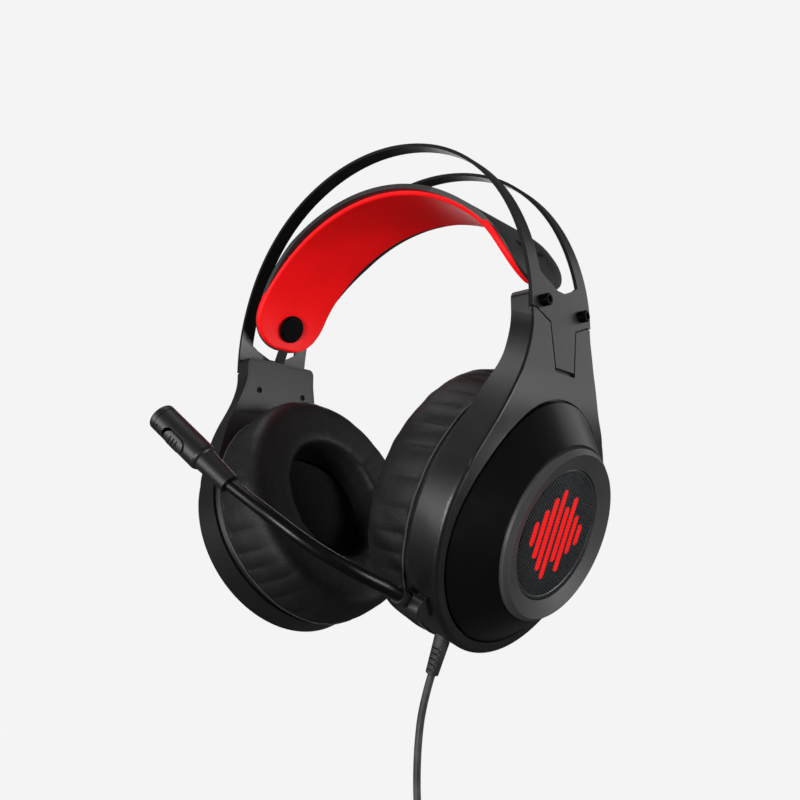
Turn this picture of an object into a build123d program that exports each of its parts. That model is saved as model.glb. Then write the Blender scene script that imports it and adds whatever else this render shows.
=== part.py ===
"""Over-ear gaming headset: two sprung steel strips over the head, a floating comfort strap on
elastic bands, two tilting ear cups with lit outer discs, a hinged boom microphone and a cable.

Frame: millimetres, +Z up, the wearer looks along -Y and +X is the wearer's left, where the
microphone and the cable are.  The origin is on the head: the underside of the strap's crown.
Each cup piece is drawn in the cup's own frame (X to the rear, Y up along the cup, Z outward
along the cup's axis), stood on the left cup's plane, and mirrored for the right cup.
"""
import os
from math import cos, exp, pi, radians, sin, sqrt, tan

from build123d import *

# ---------------------------------------------------------------- driving dimensions
# fits
SLIP = 0.2                      # general gap between nested pieces
SOFT_GAP = 0.3                  # gap beside a soft piece
PLATE_SEAT = 0.05               # between the bow's end plate and the hanger behind it
PIN_PLAY = 0.05                 # radial running clearance of a pin

# spring bow
BOW_HALF_WIDTH = 85.0           # outer face of the bow beside the ears
BOW_CROWN = 22.9                # outer face of the bow over the head
BOW_STEEL = 1.4                 # thickness of the sprung sheet
BOW_SHOULDER_RADIUS = 78.0      # middle arc of each half of the bow
BOW_SHOULDER_START = 25.0       # degrees up each side where the shoulder arc starts and, from the top, ends
PLATE_HALF = 21.2               # half width of the end plates
STRIP_OUTER = 20.4              # outer edge of each strip over the head, from the middle plane
STRIP_INNER = 13.9              # inner edge of each strip
STRIP_TAPER_START = -48.0       # where the plate's outer edge starts to draw in to the strip
NOTCH_FLOOR = -54.2             # bottom of the notch between the strips
NOTCH_HALF = 2.6                # half width of the notch's floor
NOTCH_RISE = 3.2                # height of the notch's sloping sides
NOTCH_CORNER = 3.4              # cut corner between a sloping side and a strip
NOTCH_CORNER_RISE = 2.0
PLATE_FOOT = -64.0              # bottom edge of the end plate beside the tongue
PLATE_FOOT_STEP = 3.4           # fall of the plate's edge towards the tongue
TONGUE_TOP_HALF = 8.9           # half width of the tongue where it leaves the plate
TONGUE_FOOT_HALF = 6.5          # half width of the tongue's end
TONGUE_FOOT = -84.2             # end of the tongue
PLATE_SHOULDER_HALF = 18.8      # half width where the plate's edge starts to fall
BOSS_OFFSET = 13.9              # each boss screw from the middle plane
BOSS_HEIGHT = -60.7
BOSS_RADIUS = 2.3
BOSS_STANDOUT = 2.8             # head of the boss screw beyond the plate
BOSS_SOCKET_RADIUS = 1.3
BOSS_SOCKET_DEPTH = 1.8
BOSS_SHANK_RADIUS = 1.4
BOSS_SHANK_DEPTH = 5.0
BOSS_CHAMFER = 0.4

# hanger, the upper part of each yoke
HANGER_TOP = -57.0
HANGER_DEPTH = 9.0              # hanger's thickness, from the bow's outer face inward
HANGER_HALF = 21.3              # half width of the hanger's upper part
FLARE_TOP = 72.5                # where the sides start to flare, up from the cup's centre
FLARE_SHELL = 50.5              # shell radius that the flares' points are given for
FLARE_FRONT = [(22.8, 65.0), (26.4, 57.5), (31.6, 49.3), (38.5, 36.6), (43.4, 26.0), (45.75, 20.3)]
FLARE_FRONT_END = [(47.1, 13.0), (46.9, 4.0)]   # the flare's end, sunk under the shell's rounded edge
FLARE_REAR = [(21.9, 67.0), (22.9, 59.5), (24.1, 53.5), (25.9, 48.0), (28.4, 43.3), (31.6, 39.3)]
FLARE_REAR_END = [(35.2, 34.8), (38.4, 29.6)]
FLARE_FRONT_SLOPE = -0.2        # sideways run of each flare's end for every millimetre down
FLARE_REAR_SLOPE = 0.5
HANGER_ROUND = 0.9              # rounding of the hanger's outer edges
FACE_ROUND = 1.8                # rounding of the shell's outer edge
TOP_CORNER = 3.0                # rounding of the hanger's two top corners
BEND_RADIUS = 60.0              # bend of the outer face from the hanger to the cup
PLATE_GAP = 0.6                 # gap round the bow's tongue
TONGUE_END_GAP = 1.7            # wider gap under the tongue
COVER_THICK = 1.6               # inner cover plate of the hanger
COVER_INSET = 1.2
COVER_FOOT = -85.0
COVER_SCREW_OFFSET = 14.0
COVER_SCREW_HEIGHT = -72.7
COVER_SCREW_RADIUS = 1.5
COVER_SCREW_SINK = 0.5
COVER_SCREW_SHANK = 0.9
COVER_SCREW_HEAD = 0.7
COVER_SCREW_GRIP = 3.0          # shank beyond the cover plate

# cup frame
CUP_INSET = 27.8                # cup's centre inside the bow's outer face
CUP_Z = -134.7
CUP_TILT = 21.5                 # degrees that the cup's axis points down as it leaves the head

# yoke ring and its outer face, along the cup's axis
SHELL_DROP = 1.0                # the shell and cushion are centred this far under the lit disc
SHELL_RADIUS = 50.5
SHELL_WALL = 2.5
RIM_LEVEL = -0.7                # back edge of the shell's rim
FACE_LEVEL = 12.0               # outer face round the glossy cover
FLOOR_BACK = 7.4
FLOOR_THICK = 2.0
WIRE_HOLE_RADIUS = 12.0
POST_RING = 19.0                # posts that carry the light board
POST_RADIUS = 2.0

# glossy cover, bezel, grille and light
TRIM_INSET = 4.5                # round edge of the glossy cover inside the shell's wall
TRIM_DENT_SHARE = 0.083         # how far its two upper flanks are drawn in, of its round edge's radius
TRIM_DENT_ANGLE = 30.0          # degrees of the two flanks above the horizontal
TRIM_DENT_SPREAD = 32.0         # degrees over which a flank is drawn in
TRIM_POINTS = 30                # points that its outline passes through
TRIM_GROOVE = 0.9
TRIM_LIFT = 0.3                 # foot of the cover's slope above the yoke's face
COVER_SLOPE_RUN = 12.6          # how far the cover's slope draws in
COVER_TOP = 23.4
COVER_WALL = 2.0
BEZEL_RADIUS = 32.4
BEZEL_INNER = 24.6
BEZEL_TOP = 26.5
BEZEL_LIP = 24.5                # inner edge of its dished face
BEZEL_CHAMFER = 1.7
BEZEL_SKIRT_WALL = 2.6
GRILLE_THICK = 0.8
GRILLE_TOP = 23.8
GUIDE_THICK = 2.2
BOARD_THICK = 1.6

# floating ear housing and driver
HOUSING_GAP = 1.4               # between the housing and the shell's wall
HOUSING_WALL = 1.8
HOUSING_FRONT = -5.2
HOUSING_BACK = 3.4
HOUSING_FLOOR = 1.6
HOUSING_CHAMFER = 1.0
TILT_LEVEL = 2.0                # tilt axis along the cup's axis
TILT_PIN_RADIUS = 1.5
TILT_PIN_SKIN = 0.9             # shell left outside the pin's end
BAFFLE_THICK = 1.7
BAFFLE_SINK = 0.6               # the baffle's face under the housing's front edge
BAFFLE_POST_RING = 36.0
BAFFLE_POST_RADIUS = 2.8
BAFFLE_SCREW_HEAD = 2.3
BAFFLE_SCREW_SHANK = 1.1
BAFFLE_SCREW_HEAD_THICK = 0.8
BAFFLE_VENT_RING = 29.0
BAFFLE_VENT_RADIUS = 2.0
BAFFLE_VENTS = 9
DRIVER_RADIUS = 20.0
DRIVER_RIM = 1.5
DRIVER_CAN_RADIUS = 17.6
DRIVER_CAN_DEPTH = 1.5
MAGNET_RADIUS = 9.0

# cushion
PAD_RING_THICK = 1.7
PAD_RING_WIDTH = 5.9
PAD_INSET = 0.5                 # the cushion's fullest line inside the shell's wall
PAD_HOLE = 26.0
PAD_THICK = 19.2
PAD_BACK_INSET = 3.4            # the cushion's back edge inside its fullest line
PAD_FULLEST = 9.0               # fullest line in front of the cushion's back
PAD_OUTER_FILLET = 8.5
PAD_INNER_FILLET = 6.0
CLOTH_THICK = 0.8

# comfort strap
STRAP_CROWN_RADIUS = 90.0       # outer face over the head
STRAP_CROWN_ANGLE = 43.0        # degrees each side of the top
STRAP_END_RADIUS = 52.0
STRAP_END_ANGLE = 80.5          # degrees at the strap's tips
STRAP_SHELL = 1.9
STRAP_PAD = 1.5
STRAP_HALF = 24.4               # half width over the head
STRAP_END_HALF = 20.6           # half width of the paddle ends
STRAP_WAIST_HIGH = -8.0
STRAP_WAIST_LOW = -30.0
STRAP_TIP_CORNER = 17.5
STRAP_SLOT_LONG = 17.5
STRAP_SLOT_TALL = 4.0
STRAP_SLOT_HEIGHT = -33.3
HOOK_OFFSET = 6.6
HOOK_WIDE = 2.2
HOOK_TOOTH = (1.4, 1.2)         # width and height of the hook's tooth outside the strap
HOOK_TOOTH_OFFSET = 1.2
HOOK_TOOTH_LEVEL = 0.5
RIVET_HEIGHT = -39.6
RIVET_RADIUS = 7.0
RIVET_RISE = 2.0
RIVET_SHANK = 1.9
RIVET_ROUND_SHARE = 0.7         # rounding of the head's rim, of its rise
ELASTIC_HALF = 3.0
ELASTIC_THICK = 0.9
ELASTIC_TOP_ANGLE = 56.0        # degrees along the strap's end arc where the band starts
ELASTIC_INSET = 5.7             # the band in the hanger, inside the bow's outer face
ELASTIC_FOOT = -72.0

# microphone
HUB_ANGLE = 37.0                # degrees under forward, round the shell
HUB_STANDOFF = 2.7              # hinge axis outside the shell's wall
HUB_RADIUS = 4.2
HUB_LOW = -0.4
HUB_HIGH = 4.2
LUG_HIGH = 8.6
LUG_ROOT = 1.5                  # how far the lug's straight root is set back from the hinge
BRACKET_HALF = 6.4
BRACKET_DEPTH = 3.2             # bracket's foot let into the shell's wall
BRACKET_THICK = 2.8
BRACKET_LOW = -0.6
BRACKET_HIGH = 9.2
HINGE_PIN_RADIUS = 1.2
BOOM_RADIUS = 2.25
STUB_RADIUS = 3.0
STUB_LENGTH = 8.5
# boom centreline after the hub, from the hub's centre in the cup's frame: (X rear, Y up, Z outward)
BOOM_STEPS = [(-14.5, 5.9, 0.0), (-27.5, 10.1, -3.4), (-40.7, 15.3, -12.9), (-49.4, 20.8, -27.1),
              (-54.7, 25.1, -45.2)]
BOOM_ARC_SHARE = 0.45
BOOM_SOCKET = 3.0               # length of the boom inside the microphone's neck
MIC_AXIS = (-0.32, 0.36, -0.877)
MIC_FACE = (-0.96, -0.19, 0.21)     # the slider's side of the capsule
MIC_RADIUS = 4.85
MIC_NECK_LENGTH = 14.0
MIC_NECK_RADIUS = 3.4
MIC_SHOULDER_RADIUS = 4.1
MIC_BODY_LENGTH = 19.0
MIC_CAP_LENGTH = 2.6
MIC_WALL = 1.2
MIC_CAP_GROOVE = 0.3
SLIDER_FROM_TIP = 11.9
SLIDER_LONG = 8.8
SLIDER_WIDE = 4.8
SLIDER_TRAVEL = 1.6
SLIDER_RISE = 0.6
LAMP_FROM_TIP = 3.9
LAMP_RADIUS = 0.45
MIC_SHOULDER_SINK = 2.2         # the capsule's rounded foot, sunk over the neck
MIC_SHOULDER_ROUND = 2.0
MIC_CAP_ROUND = 0.9
MIC_CAP_SPIGOT = 1.2            # the cap's rim inside the capsule
ELEMENT_THICK = 2.2
SLIDER_RIBS = (-1.5, 0, 1.5)
SLIDER_RIB_CUT = (0.7, 3.0, 0.6)
SWITCH_THICK = 1.2
SWITCH_WIDE = 5.4
SWITCH_BED = 0.4                # the switch's upper face outside the microphone's axis

# cable
STRAIN_FORWARD = 21.3
STRAIN_LEVEL = 4.0
STRAIN_TOP_RADIUS = 3.1
STRAIN_FOOT_RADIUS = 2.4
STRAIN_ROOT_RADIUS = 2.5
STRAIN_LENGTH = 13.6
STRAIN_SLOTS = 5
STRAIN_SLOT_FIRST = 2.6         # first slot's middle from the relief's top
STRAIN_SLOT_MARGIN = 3.5        # length of the relief left without slots
STRAIN_SLOT_SHARE = 0.32        # a slot's height, of the step between slots
STRAIN_SLOT_SKIN = 0.35         # rubber left over the cable under a slot
CABLE_RADIUS = 1.4
# the cable's route after the strain relief, from the relief's foot, along the world's axes
CABLE_LEAD = 12.0               # straight run along the relief's axis
CABLE_STEPS = [(-6.9, 0.2, -25.2), (-8.1, 0.9, -39.8), (-7.9, 1.7, -52.8)]
HANK_LONG = 72.0                # the put-away cable, wound into a hank
HANK_FOLD_WIDE = 10.2           # half width at the folds, across the turns
HANK_FOLD_DEEP = 12.2           # half depth at the folds, where the turns lie side by side
HANK_FOLD_LEVEL = 10.0          # centres of the folds from the hank's ends
HANK_WAIST = 5.9                # half width and depth under the tie
HANK_CORNER = 3.5
HANK_ENTRY = (-4.3, -10.6)      # where the cable enters, from the hank's axis
PLUG_PLACE = (-1.0, 10.6)       # where it leaves for the plug
PLUG_HANG = 3.0                 # plug's neck under the hank
TIE_TALL = 7.0
TIE_THICK = 1.2
PLUG_RADIUS = 4.0
PLUG_BODY = 21.0
PLUG_NECK_RADIUS = 2.6
PLUG_NECK = 7.0
PLUG_NECK_WALL = 0.5            # sleeve round the cable at the neck's top
PLUG_ROUND = 0.8
JACK_RADIUS = 1.75
JACK_LENGTH = 14.0
JACK_TIP = 2.4
JACK_BAND = 0.7
JACK_BAND_STEP = 3.2
JACK_BANDS = 3
JACK_BAND_DEPTH = 0.35
JACK_BAND_FIRST = 1.2           # first band from the tip's cone
JACK_TIP_SHARE = 0.45           # the tip's end radius, of the jack's

# ---------------------------------------------------------------- shared geometry
os.makedirs("parts", exist_ok=True)

cup_turn = radians(CUP_TILT)
cup_x = BOW_HALF_WIDTH - CUP_INSET
cup_out = Vector(cos(cup_turn), 0, -sin(cup_turn))
cup_plane = Plane(origin=(cup_x, 0, CUP_Z), x_dir=(0, 1, 0), z_dir=cup_out)
shell_place = cup_plane.location * Pos(0, -SHELL_DROP, 0)

shell_inner = SHELL_RADIUS - SHELL_WALL
housing_radius = shell_inner - HOUSING_GAP
hanger_inner = BOW_HALF_WIDTH - HANGER_DEPTH
elastic_x = BOW_HALF_WIDTH - ELASTIC_INSET
trim_radius = SHELL_RADIUS - TRIM_INSET
cover_top_radius = trim_radius - COVER_SLOPE_RUN
pad_ring_inner = housing_radius - SLIP - PAD_RING_WIDTH
pad_radius = SHELL_RADIUS - PAD_INSET
hub_ring = SHELL_RADIUS + HUB_STANDOFF
bracket_inner = SHELL_RADIUS - BRACKET_DEPTH
bracket_outer = bracket_inner + BRACKET_THICK
floor_front = FLOOR_BACK + FLOOR_THICK
baffle_front = HOUSING_FRONT + BAFFLE_SINK
baffle_back = baffle_front + BAFFLE_THICK
pad_ring_back = HOUSING_FRONT - SLIP / 2
pad_ring_front = pad_ring_back - PAD_RING_THICK
pad_back = pad_ring_front - SOFT_GAP
pad_front = pad_back - PAD_THICK
guide_top = GRILLE_TOP - GRILLE_THICK
board_top = guide_top - GUIDE_THICK
board_low = board_top - BOARD_THICK


def save(part, name):
    """Write one named sub-part."""
    part.label = name
    export_step(part, f"parts/{name}.step")


def disc(radius, low, high):
    """A cylinder about the local Z axis between two levels."""
    return Pos(0, 0, (low + high) / 2) * Cylinder(radius, high - low)


def ring(outer, inner, low, high):
    """A tube about the local Z axis between two levels."""
    return disc(outer, low, high) - disc(inner, low - 1, high + 1)


def cone(radius_low, radius_high, low, high):
    """A frustum about the local Z axis between two levels."""
    return Pos(0, 0, (low + high) / 2) * Cone(radius_low, radius_high, high - low)


def other_side(part):
    """The same piece on the wearer's right."""
    return mirror(part, about=Plane.YZ)


def save_pair(part, name):
    """Write a left piece and its mirror image."""
    save(part, f"{name}_left")
    save(other_side(part), f"{name}_right")


def in_cup(x, y, z):
    """A point of the left cup's frame in the world frame."""
    return cup_plane.from_local_coords(Vector(x, y, z))


def direction_in_cup(vector):
    """A direction of the left cup's frame in the world frame."""
    return (in_cup(*vector) - in_cup(0, 0, 0)).normalized()


def along_x(sketch, low, high):
    """A YZ sketch made solid between two X values."""
    return Pos(low, 0, 0) * extrude(Plane.YZ * sketch, amount=high - low)


def arc_radii(points, share):
    """The largest even fillet for each inner corner of a route."""
    radii = []
    for before, corner, after in zip(points, points[1:], points[2:]):
        run_in = Vector(*corner) - Vector(*before)
        run_out = Vector(*after) - Vector(*corner)
        shorter = min(run_in.length, run_out.length)
        radii.append(share * shorter / tan(radians(run_in.get_angle(run_out)) / 2))
    return radii


def tube_along(points, radius, share):
    """A round bar along straight runs joined by tangent arcs."""
    radii = arc_radii(points, share)
    path = FilletPolyline(*points, radius=radii)
    start = Plane(origin=path @ 0, z_dir=path % 0)
    bar = sweep(start * Circle(radius), path=path)
    return bar, path, radii


# ---------------------------------------------------------------- spring bow
bow_turn = radians(BOW_SHOULDER_START)
bow_rise = cos(bow_turn) - sin(bow_turn)
bow_side_radius = (BOW_HALF_WIDTH - BOW_SHOULDER_RADIUS * bow_rise) / (1 - bow_rise)
bow_spring_z = BOW_CROWN - BOW_HALF_WIDTH


def bow_lean(height):
    """How far the bow's side has leaned inward at a height."""
    climb = max(0, height - bow_spring_z)
    return bow_side_radius - sqrt(bow_side_radius ** 2 - climb ** 2)


def bow_outline(offset):
    """Outer or inner line of one half of the bow in XZ, from the plate's foot to the crown."""
    turn = bow_turn
    side = bow_side_radius
    start_z = bow_spring_z
    centre_side = Vector(BOW_HALF_WIDTH - side, start_z)
    joint = Vector(centre_side.X + side * cos(turn), centre_side.Y + side * sin(turn))
    centre_shoulder = joint - Vector(cos(turn), sin(turn)) * BOW_SHOULDER_RADIUS
    last = radians(90 - BOW_SHOULDER_START)
    joint_high = centre_shoulder + Vector(cos(last), sin(last)) * BOW_SHOULDER_RADIUS
    centre_crown = joint_high - Vector(cos(last), sin(last)) * side

    def on(centre, radius, angle):
        return centre + Vector(cos(angle), sin(angle)) * (radius - offset)

    foot = Vector(BOW_HALF_WIDTH - offset, TONGUE_FOOT)
    spring = on(centre_side, side, 0)
    middle = (turn + last) / 2
    return [Line(foot, spring),
            ThreePointArc(spring, on(centre_side, side, turn / 2), on(centre_side, side, turn)),
            ThreePointArc(on(centre_side, side, turn), on(centre_shoulder, BOW_SHOULDER_RADIUS, middle),
                          on(centre_shoulder, BOW_SHOULDER_RADIUS, last)),
            ThreePointArc(on(centre_crown, side, last), on(centre_crown, side, (last + radians(90)) / 2),
                          on(centre_crown, side, radians(90)))]


def bow_band():
    """The full sheet of the bow, before its outline is cut."""
    outer = bow_outline(0)
    inner = bow_outline(BOW_STEEL)
    foot = Line(outer[0] @ 0, inner[0] @ 0)
    crown = Line(outer[-1] @ 1, inner[-1] @ 1)
    half = extrude(Plane.XZ * make_face([*outer, *inner, foot, crown]), amount=PLATE_HALF, both=True)
    return half + other_side(half)


def plate_outline(gap, end_gap):
    """Lower outline of the bow's end plate and tongue, grown by a gap, as a YZ sketch."""
    high = BOW_CROWN + gap
    points = [(STRIP_OUTER + gap * 4, high), (PLATE_HALF + gap * 4, STRIP_TAPER_START),
              (PLATE_HALF + gap * 4, PLATE_FOOT - gap),
              (PLATE_SHOULDER_HALF, PLATE_FOOT - gap),
              (TONGUE_TOP_HALF + gap, PLATE_FOOT - PLATE_FOOT_STEP - gap),
              (TONGUE_FOOT_HALF + gap, TONGUE_FOOT - end_gap)]
    mirrored = [(-y, z) for y, z in reversed(points)]
    return make_face(Polyline(*points, *mirrored, close=True))


def notch_outline():
    """The space between the strips with its sloping foot, as a YZ sketch."""
    high = BOW_CROWN + 10
    points = [(STRIP_INNER, high), (STRIP_INNER, NOTCH_FLOOR + NOTCH_RISE + NOTCH_CORNER_RISE),
              (STRIP_INNER - NOTCH_CORNER, NOTCH_FLOOR + NOTCH_RISE), (NOTCH_HALF, NOTCH_FLOOR)]
    mirrored = [(-y, z) for y, z in reversed(points)]
    return make_face(Polyline(*points, *mirrored, close=True))


reach = BOW_HALF_WIDTH + 20
spring_bow = bow_band() & along_x(plate_outline(0, 0), -reach, reach)
spring_bow -= along_x(notch_outline(), -reach, reach)

boss_screws = []
bow_bores = []
for side in (1, -1):
    for offset in (BOSS_OFFSET, -BOSS_OFFSET):
        seat = Plane(origin=(side * BOW_HALF_WIDTH, offset, BOSS_HEIGHT), z_dir=(side, 0, 0)).location
        bow_bores.append(seat * disc(BOSS_SHANK_RADIUS + SLIP / 4, -BOW_STEEL - 1, 1))
        head = chamfer(disc(BOSS_RADIUS, 0.02, BOSS_STANDOUT).edges().group_by(Axis.Z)[-1], BOSS_CHAMFER)
        screw = head + disc(BOSS_SHANK_RADIUS, -BOSS_SHANK_DEPTH, 0.02)
        screw -= disc(BOSS_SOCKET_RADIUS, BOSS_STANDOUT - BOSS_SOCKET_DEPTH, BOSS_STANDOUT + 1)
        boss_screws.append(seat * screw)
for bore in bow_bores:
    spring_bow -= bore
save(spring_bow, "spring_bow")
save(Compound(boss_screws), "bow_screws")

# ---------------------------------------------------------------- yokes
plate_back = BOW_HALF_WIDTH - BOW_STEEL - bow_lean(HANGER_TOP) - PLATE_SEAT
shell_growth = SHELL_RADIUS / FLARE_SHELL


def hanger_flank(points, inset, foot_slope):
    """One side of the hanger's outline, on its +X side: an upright line and the flare under it."""
    flare_start = (HANGER_HALF - inset, FLARE_TOP)
    flare_line = [(x * shell_growth - inset, y * shell_growth) for x, y in points]
    flare = Spline(flare_start, *flare_line, tangents=[(0, -1), (foot_slope, -1)])
    return [Line((HANGER_HALF - inset, 2 * FLARE_TOP), flare_start), flare]


def hanger_outline(inset):
    """The hanger seen along the cup's axis: upright sides that flare into the shell's circle, more
    at the front than at the rear."""
    rear = hanger_flank(FLARE_REAR + FLARE_REAR_END, inset, FLARE_REAR_SLOPE)
    front = hanger_flank(FLARE_FRONT + FLARE_FRONT_END, inset, FLARE_FRONT_SLOPE)
    front = [mirror(edge, about=Plane.YZ) for edge in front]
    lid = Line(rear[0] @ 0, front[0] @ 0)
    foot = Line(rear[1] @ 1, front[1] @ 1)
    return make_face([*rear, lid, foot, *front])


def hanger_block(inset):
    """The hanger's outline carried along the cup's axis."""
    block = extrude(hanger_outline(inset), amount=3 * SHELL_RADIUS)
    return cup_plane.location * Pos(0, 0, -SHELL_RADIUS) * block


def top_corners(inset):
    """What is cut away to round the hanger's two top corners, drawn in by an inset, along X."""
    radius = TOP_CORNER - inset
    waste = []
    for side in (1, -1):
        corner = (side * (HANGER_HALF - inset), HANGER_TOP - inset)
        square = Pos(corner[0] - side * radius / 2, corner[1] - radius / 2)
        sketch = square * Rectangle(radius + 0.02, radius + 0.02)
        sketch -= Pos(corner[0] - side * radius, corner[1] - radius) * Circle(radius)
        waste.append(along_x(sketch, hanger_inner - 1, BOW_HALF_WIDTH + 1))
    return waste


def on_cup_level(level, height=None, x=None):
    """XZ point of the plane at a level of the cup's axis, at a given up distance or world X."""
    if x is not None:
        height = (x - cup_x - level * cos(cup_turn)) / sin(cup_turn)
    return (cup_x + level * cos(cup_turn) + height * sin(cup_turn),
            CUP_Z - level * sin(cup_turn) + height * cos(cup_turn))


def hanger_side():
    """Side view of the hanger and of the shell's face under it: upright above, bent to the cup's
    tilt below."""
    bend = on_cup_level(FACE_LEVEL, x=BOW_HALF_WIDTH)
    knee = on_cup_level(RIM_LEVEL, x=hanger_inner)
    foot = -2 * SHELL_RADIUS
    points = [(BOW_HALF_WIDTH, HANGER_TOP), bend, on_cup_level(FACE_LEVEL, height=foot),
              on_cup_level(RIM_LEVEL, height=foot), knee, (hanger_inner, HANGER_TOP)]
    face = make_face(Polyline(*points, close=True))
    outer_bend = face.vertices().sort_by_distance(Vector(*bend))[0]
    face = fillet(outer_bend, BEND_RADIUS)
    inner_bend = face.vertices().sort_by_distance(Vector(*knee))[0]
    return fillet(inner_bend, BEND_RADIUS / 2)


def dented_circle(radius, dent):
    """A circle drawn in softly at two places of its upper half, as a bell curve of the angle."""
    points = []
    for index in range(TRIM_POINTS):
        turn = 360 * index / TRIM_POINTS - 90
        near = [abs(turn - side) / TRIM_DENT_SPREAD for side in (TRIM_DENT_ANGLE, 180 - TRIM_DENT_ANGLE)]
        reach = radius - dent * sum(exp(-share ** 2) for share in near)
        points.append((reach * cos(radians(turn)), reach * sin(radians(turn))))
    return make_face(Spline(*points, periodic=True))


def trim_outline(grow):
    """Outline of the glossy cover: round, and drawn in a little on both sides of the hanger."""
    return dented_circle(trim_radius + grow, trim_radius * TRIM_DENT_SHARE)


def outer_flank_edges(body):
    """The edges between the hanger's outer face and its two sides."""
    def on_outer_face(edge):
        middle = edge @ 0.5
        level = (middle - Vector(cup_x, 0, CUP_Z)).dot(cup_out)
        outside = max(middle.X - BOW_HALF_WIDTH, level - FACE_LEVEL) > -2
        return outside and HANGER_HALF - 1 < abs(middle.Y) < SHELL_RADIUS

    return body.edges().filter_by(on_outer_face)


def cover_plate(inset, low, thick):
    """The inner cover's plate, drawn in from the hanger's sides, or the bay that it lies in."""
    high = HANGER_TOP - inset
    foot = COVER_FOOT - COVER_INSET + inset
    plate = Pos(low + thick / 2, 0, (high + foot) / 2) * Box(thick, 4 * HANGER_HALF, high - foot)
    plate &= hanger_block(inset)
    for waste in top_corners(inset):
        plate -= waste
    return plate


def yoke_ring():
    """Round wall and floor of the yoke in the shell's frame."""
    wall = disc(SHELL_RADIUS, RIM_LEVEL, FACE_LEVEL)
    return fillet(wall.edges().group_by(Axis.Z)[-1], FACE_ROUND)


def yoke():
    """Hanger and cup shell in one moulding, left side."""
    side = extrude(Plane.XZ * hanger_side(), amount=2 * SHELL_RADIUS, both=True)
    body = fillet(outer_flank_edges(side & hanger_block(0)), HANGER_ROUND)
    body += (shell_place * yoke_ring()) & side
    body -= shell_place * disc(shell_inner, RIM_LEVEL - 20, FLOOR_BACK)
    recess = extrude(Plane((0, 0, floor_front)) * trim_outline(TRIM_GROOVE), amount=20)
    body -= cup_plane.location * recess
    body -= cup_plane.location * disc(WIRE_HOLE_RADIUS, FLOOR_BACK - 5, floor_front + 5)
    for turn in (90, 210, 330):
        post = Rot(0, 0, turn) * Pos(POST_RING, 0, 0) * disc(POST_RADIUS, floor_front - 0.5, board_low)
        body += cup_plane.location * post
    body -= along_x(plate_outline(PLATE_GAP, TONGUE_END_GAP), plate_back, BOW_HALF_WIDTH + 5)
    for offset in (BOSS_OFFSET, -BOSS_OFFSET):
        bore = Plane(origin=(BOW_HALF_WIDTH, offset, BOSS_HEIGHT), z_dir=(1, 0, 0)).location
        body -= bore * disc(BOSS_SHANK_RADIUS, -BOSS_SHANK_DEPTH - 0.3, 1)
    for waste in top_corners(0):
        body -= waste
    body -= cover_plate(COVER_INSET - SLIP / 2, hanger_inner - 5, COVER_THICK + 5)
    for offset in (COVER_SCREW_OFFSET, -COVER_SCREW_OFFSET):
        bore = Plane(origin=(hanger_inner, offset, COVER_SCREW_HEIGHT), z_dir=(1, 0, 0)).location
        body -= bore * disc(COVER_SCREW_SHANK, -1, COVER_THICK + COVER_SCREW_GRIP + 0.3)
    slot_half = ELASTIC_HALF + SOFT_GAP
    slot_thick = ELASTIC_THICK + 2 * SOFT_GAP + 0.6
    slot_low = ELASTIC_FOOT - SOFT_GAP
    body -= Pos(elastic_x, 0, (slot_low + HANGER_TOP + 5) / 2) * Box(slot_thick, 2 * slot_half,
                                                                  HANGER_TOP + 5 - slot_low)
    for side in (1, -1):
        pin = shell_place * Plane(origin=(0, 0, TILT_LEVEL), z_dir=(side, 0, 0)).location
        body -= pin * disc(TILT_PIN_RADIUS + PIN_PLAY, housing_radius - 3, SHELL_RADIUS - TILT_PIN_SKIN)
    return body


hub_place = shell_place * Rot(0, 0, 180 + HUB_ANGLE)
bay_outer = SHELL_RADIUS + 6
bay_low = BRACKET_LOW - 4
bracket_bay = Box(bay_outer - bracket_inner, 2 * BRACKET_HALF + SLIP, BRACKET_HIGH - bay_low + SLIP)
bracket_bay = Pos((bracket_inner + bay_outer) / 2, 0, (bay_low + BRACKET_HIGH) / 2) * bracket_bay
bracket_bay = hub_place * bracket_bay
strain_origin = in_cup(-STRAIN_FORWARD, 0, STRAIN_LEVEL)
strain_place = Plane(origin=strain_origin, z_dir=direction_in_cup((0, -1, 0))).location
strain_top = SHELL_DROP + sqrt(SHELL_RADIUS ** 2 - STRAIN_FORWARD ** 2)
strain_root = SHELL_DROP + sqrt(shell_inner ** 2 - STRAIN_FORWARD ** 2)

plain_yoke = yoke()
strain_bore = strain_place * disc(STRAIN_ROOT_RADIUS + SLIP / 4, strain_root - 5, strain_top + 5)
save(plain_yoke - bracket_bay - strain_bore, "yoke_left")
save(other_side(plain_yoke), "yoke_right")

cover = cover_plate(COVER_INSET, hanger_inner, COVER_THICK - SLIP / 2)
cover -= shell_place * disc(shell_inner, -40, FLOOR_BACK)
cover_screws = []
for offset in (COVER_SCREW_OFFSET, -COVER_SCREW_OFFSET):
    seat = Plane(origin=(hanger_inner, offset, COVER_SCREW_HEIGHT), z_dir=(1, 0, 0)).location
    head_high = COVER_SCREW_SINK + COVER_SCREW_HEAD
    cover -= seat * disc(COVER_SCREW_RADIUS + SLIP / 2, -1, head_high)
    cover -= seat * disc(COVER_SCREW_SHANK + SLIP / 2, -1, COVER_THICK + 1)
    screw = disc(COVER_SCREW_RADIUS, COVER_SCREW_SINK, head_high)
    screw += disc(COVER_SCREW_SHANK, head_high, COVER_THICK + COVER_SCREW_GRIP)
    cover_screws.append(seat * screw)
save_pair(cover, "yoke_cover")
save(Compound(cover_screws + [other_side(screw) for screw in cover_screws]), "cover_screws")


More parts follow.
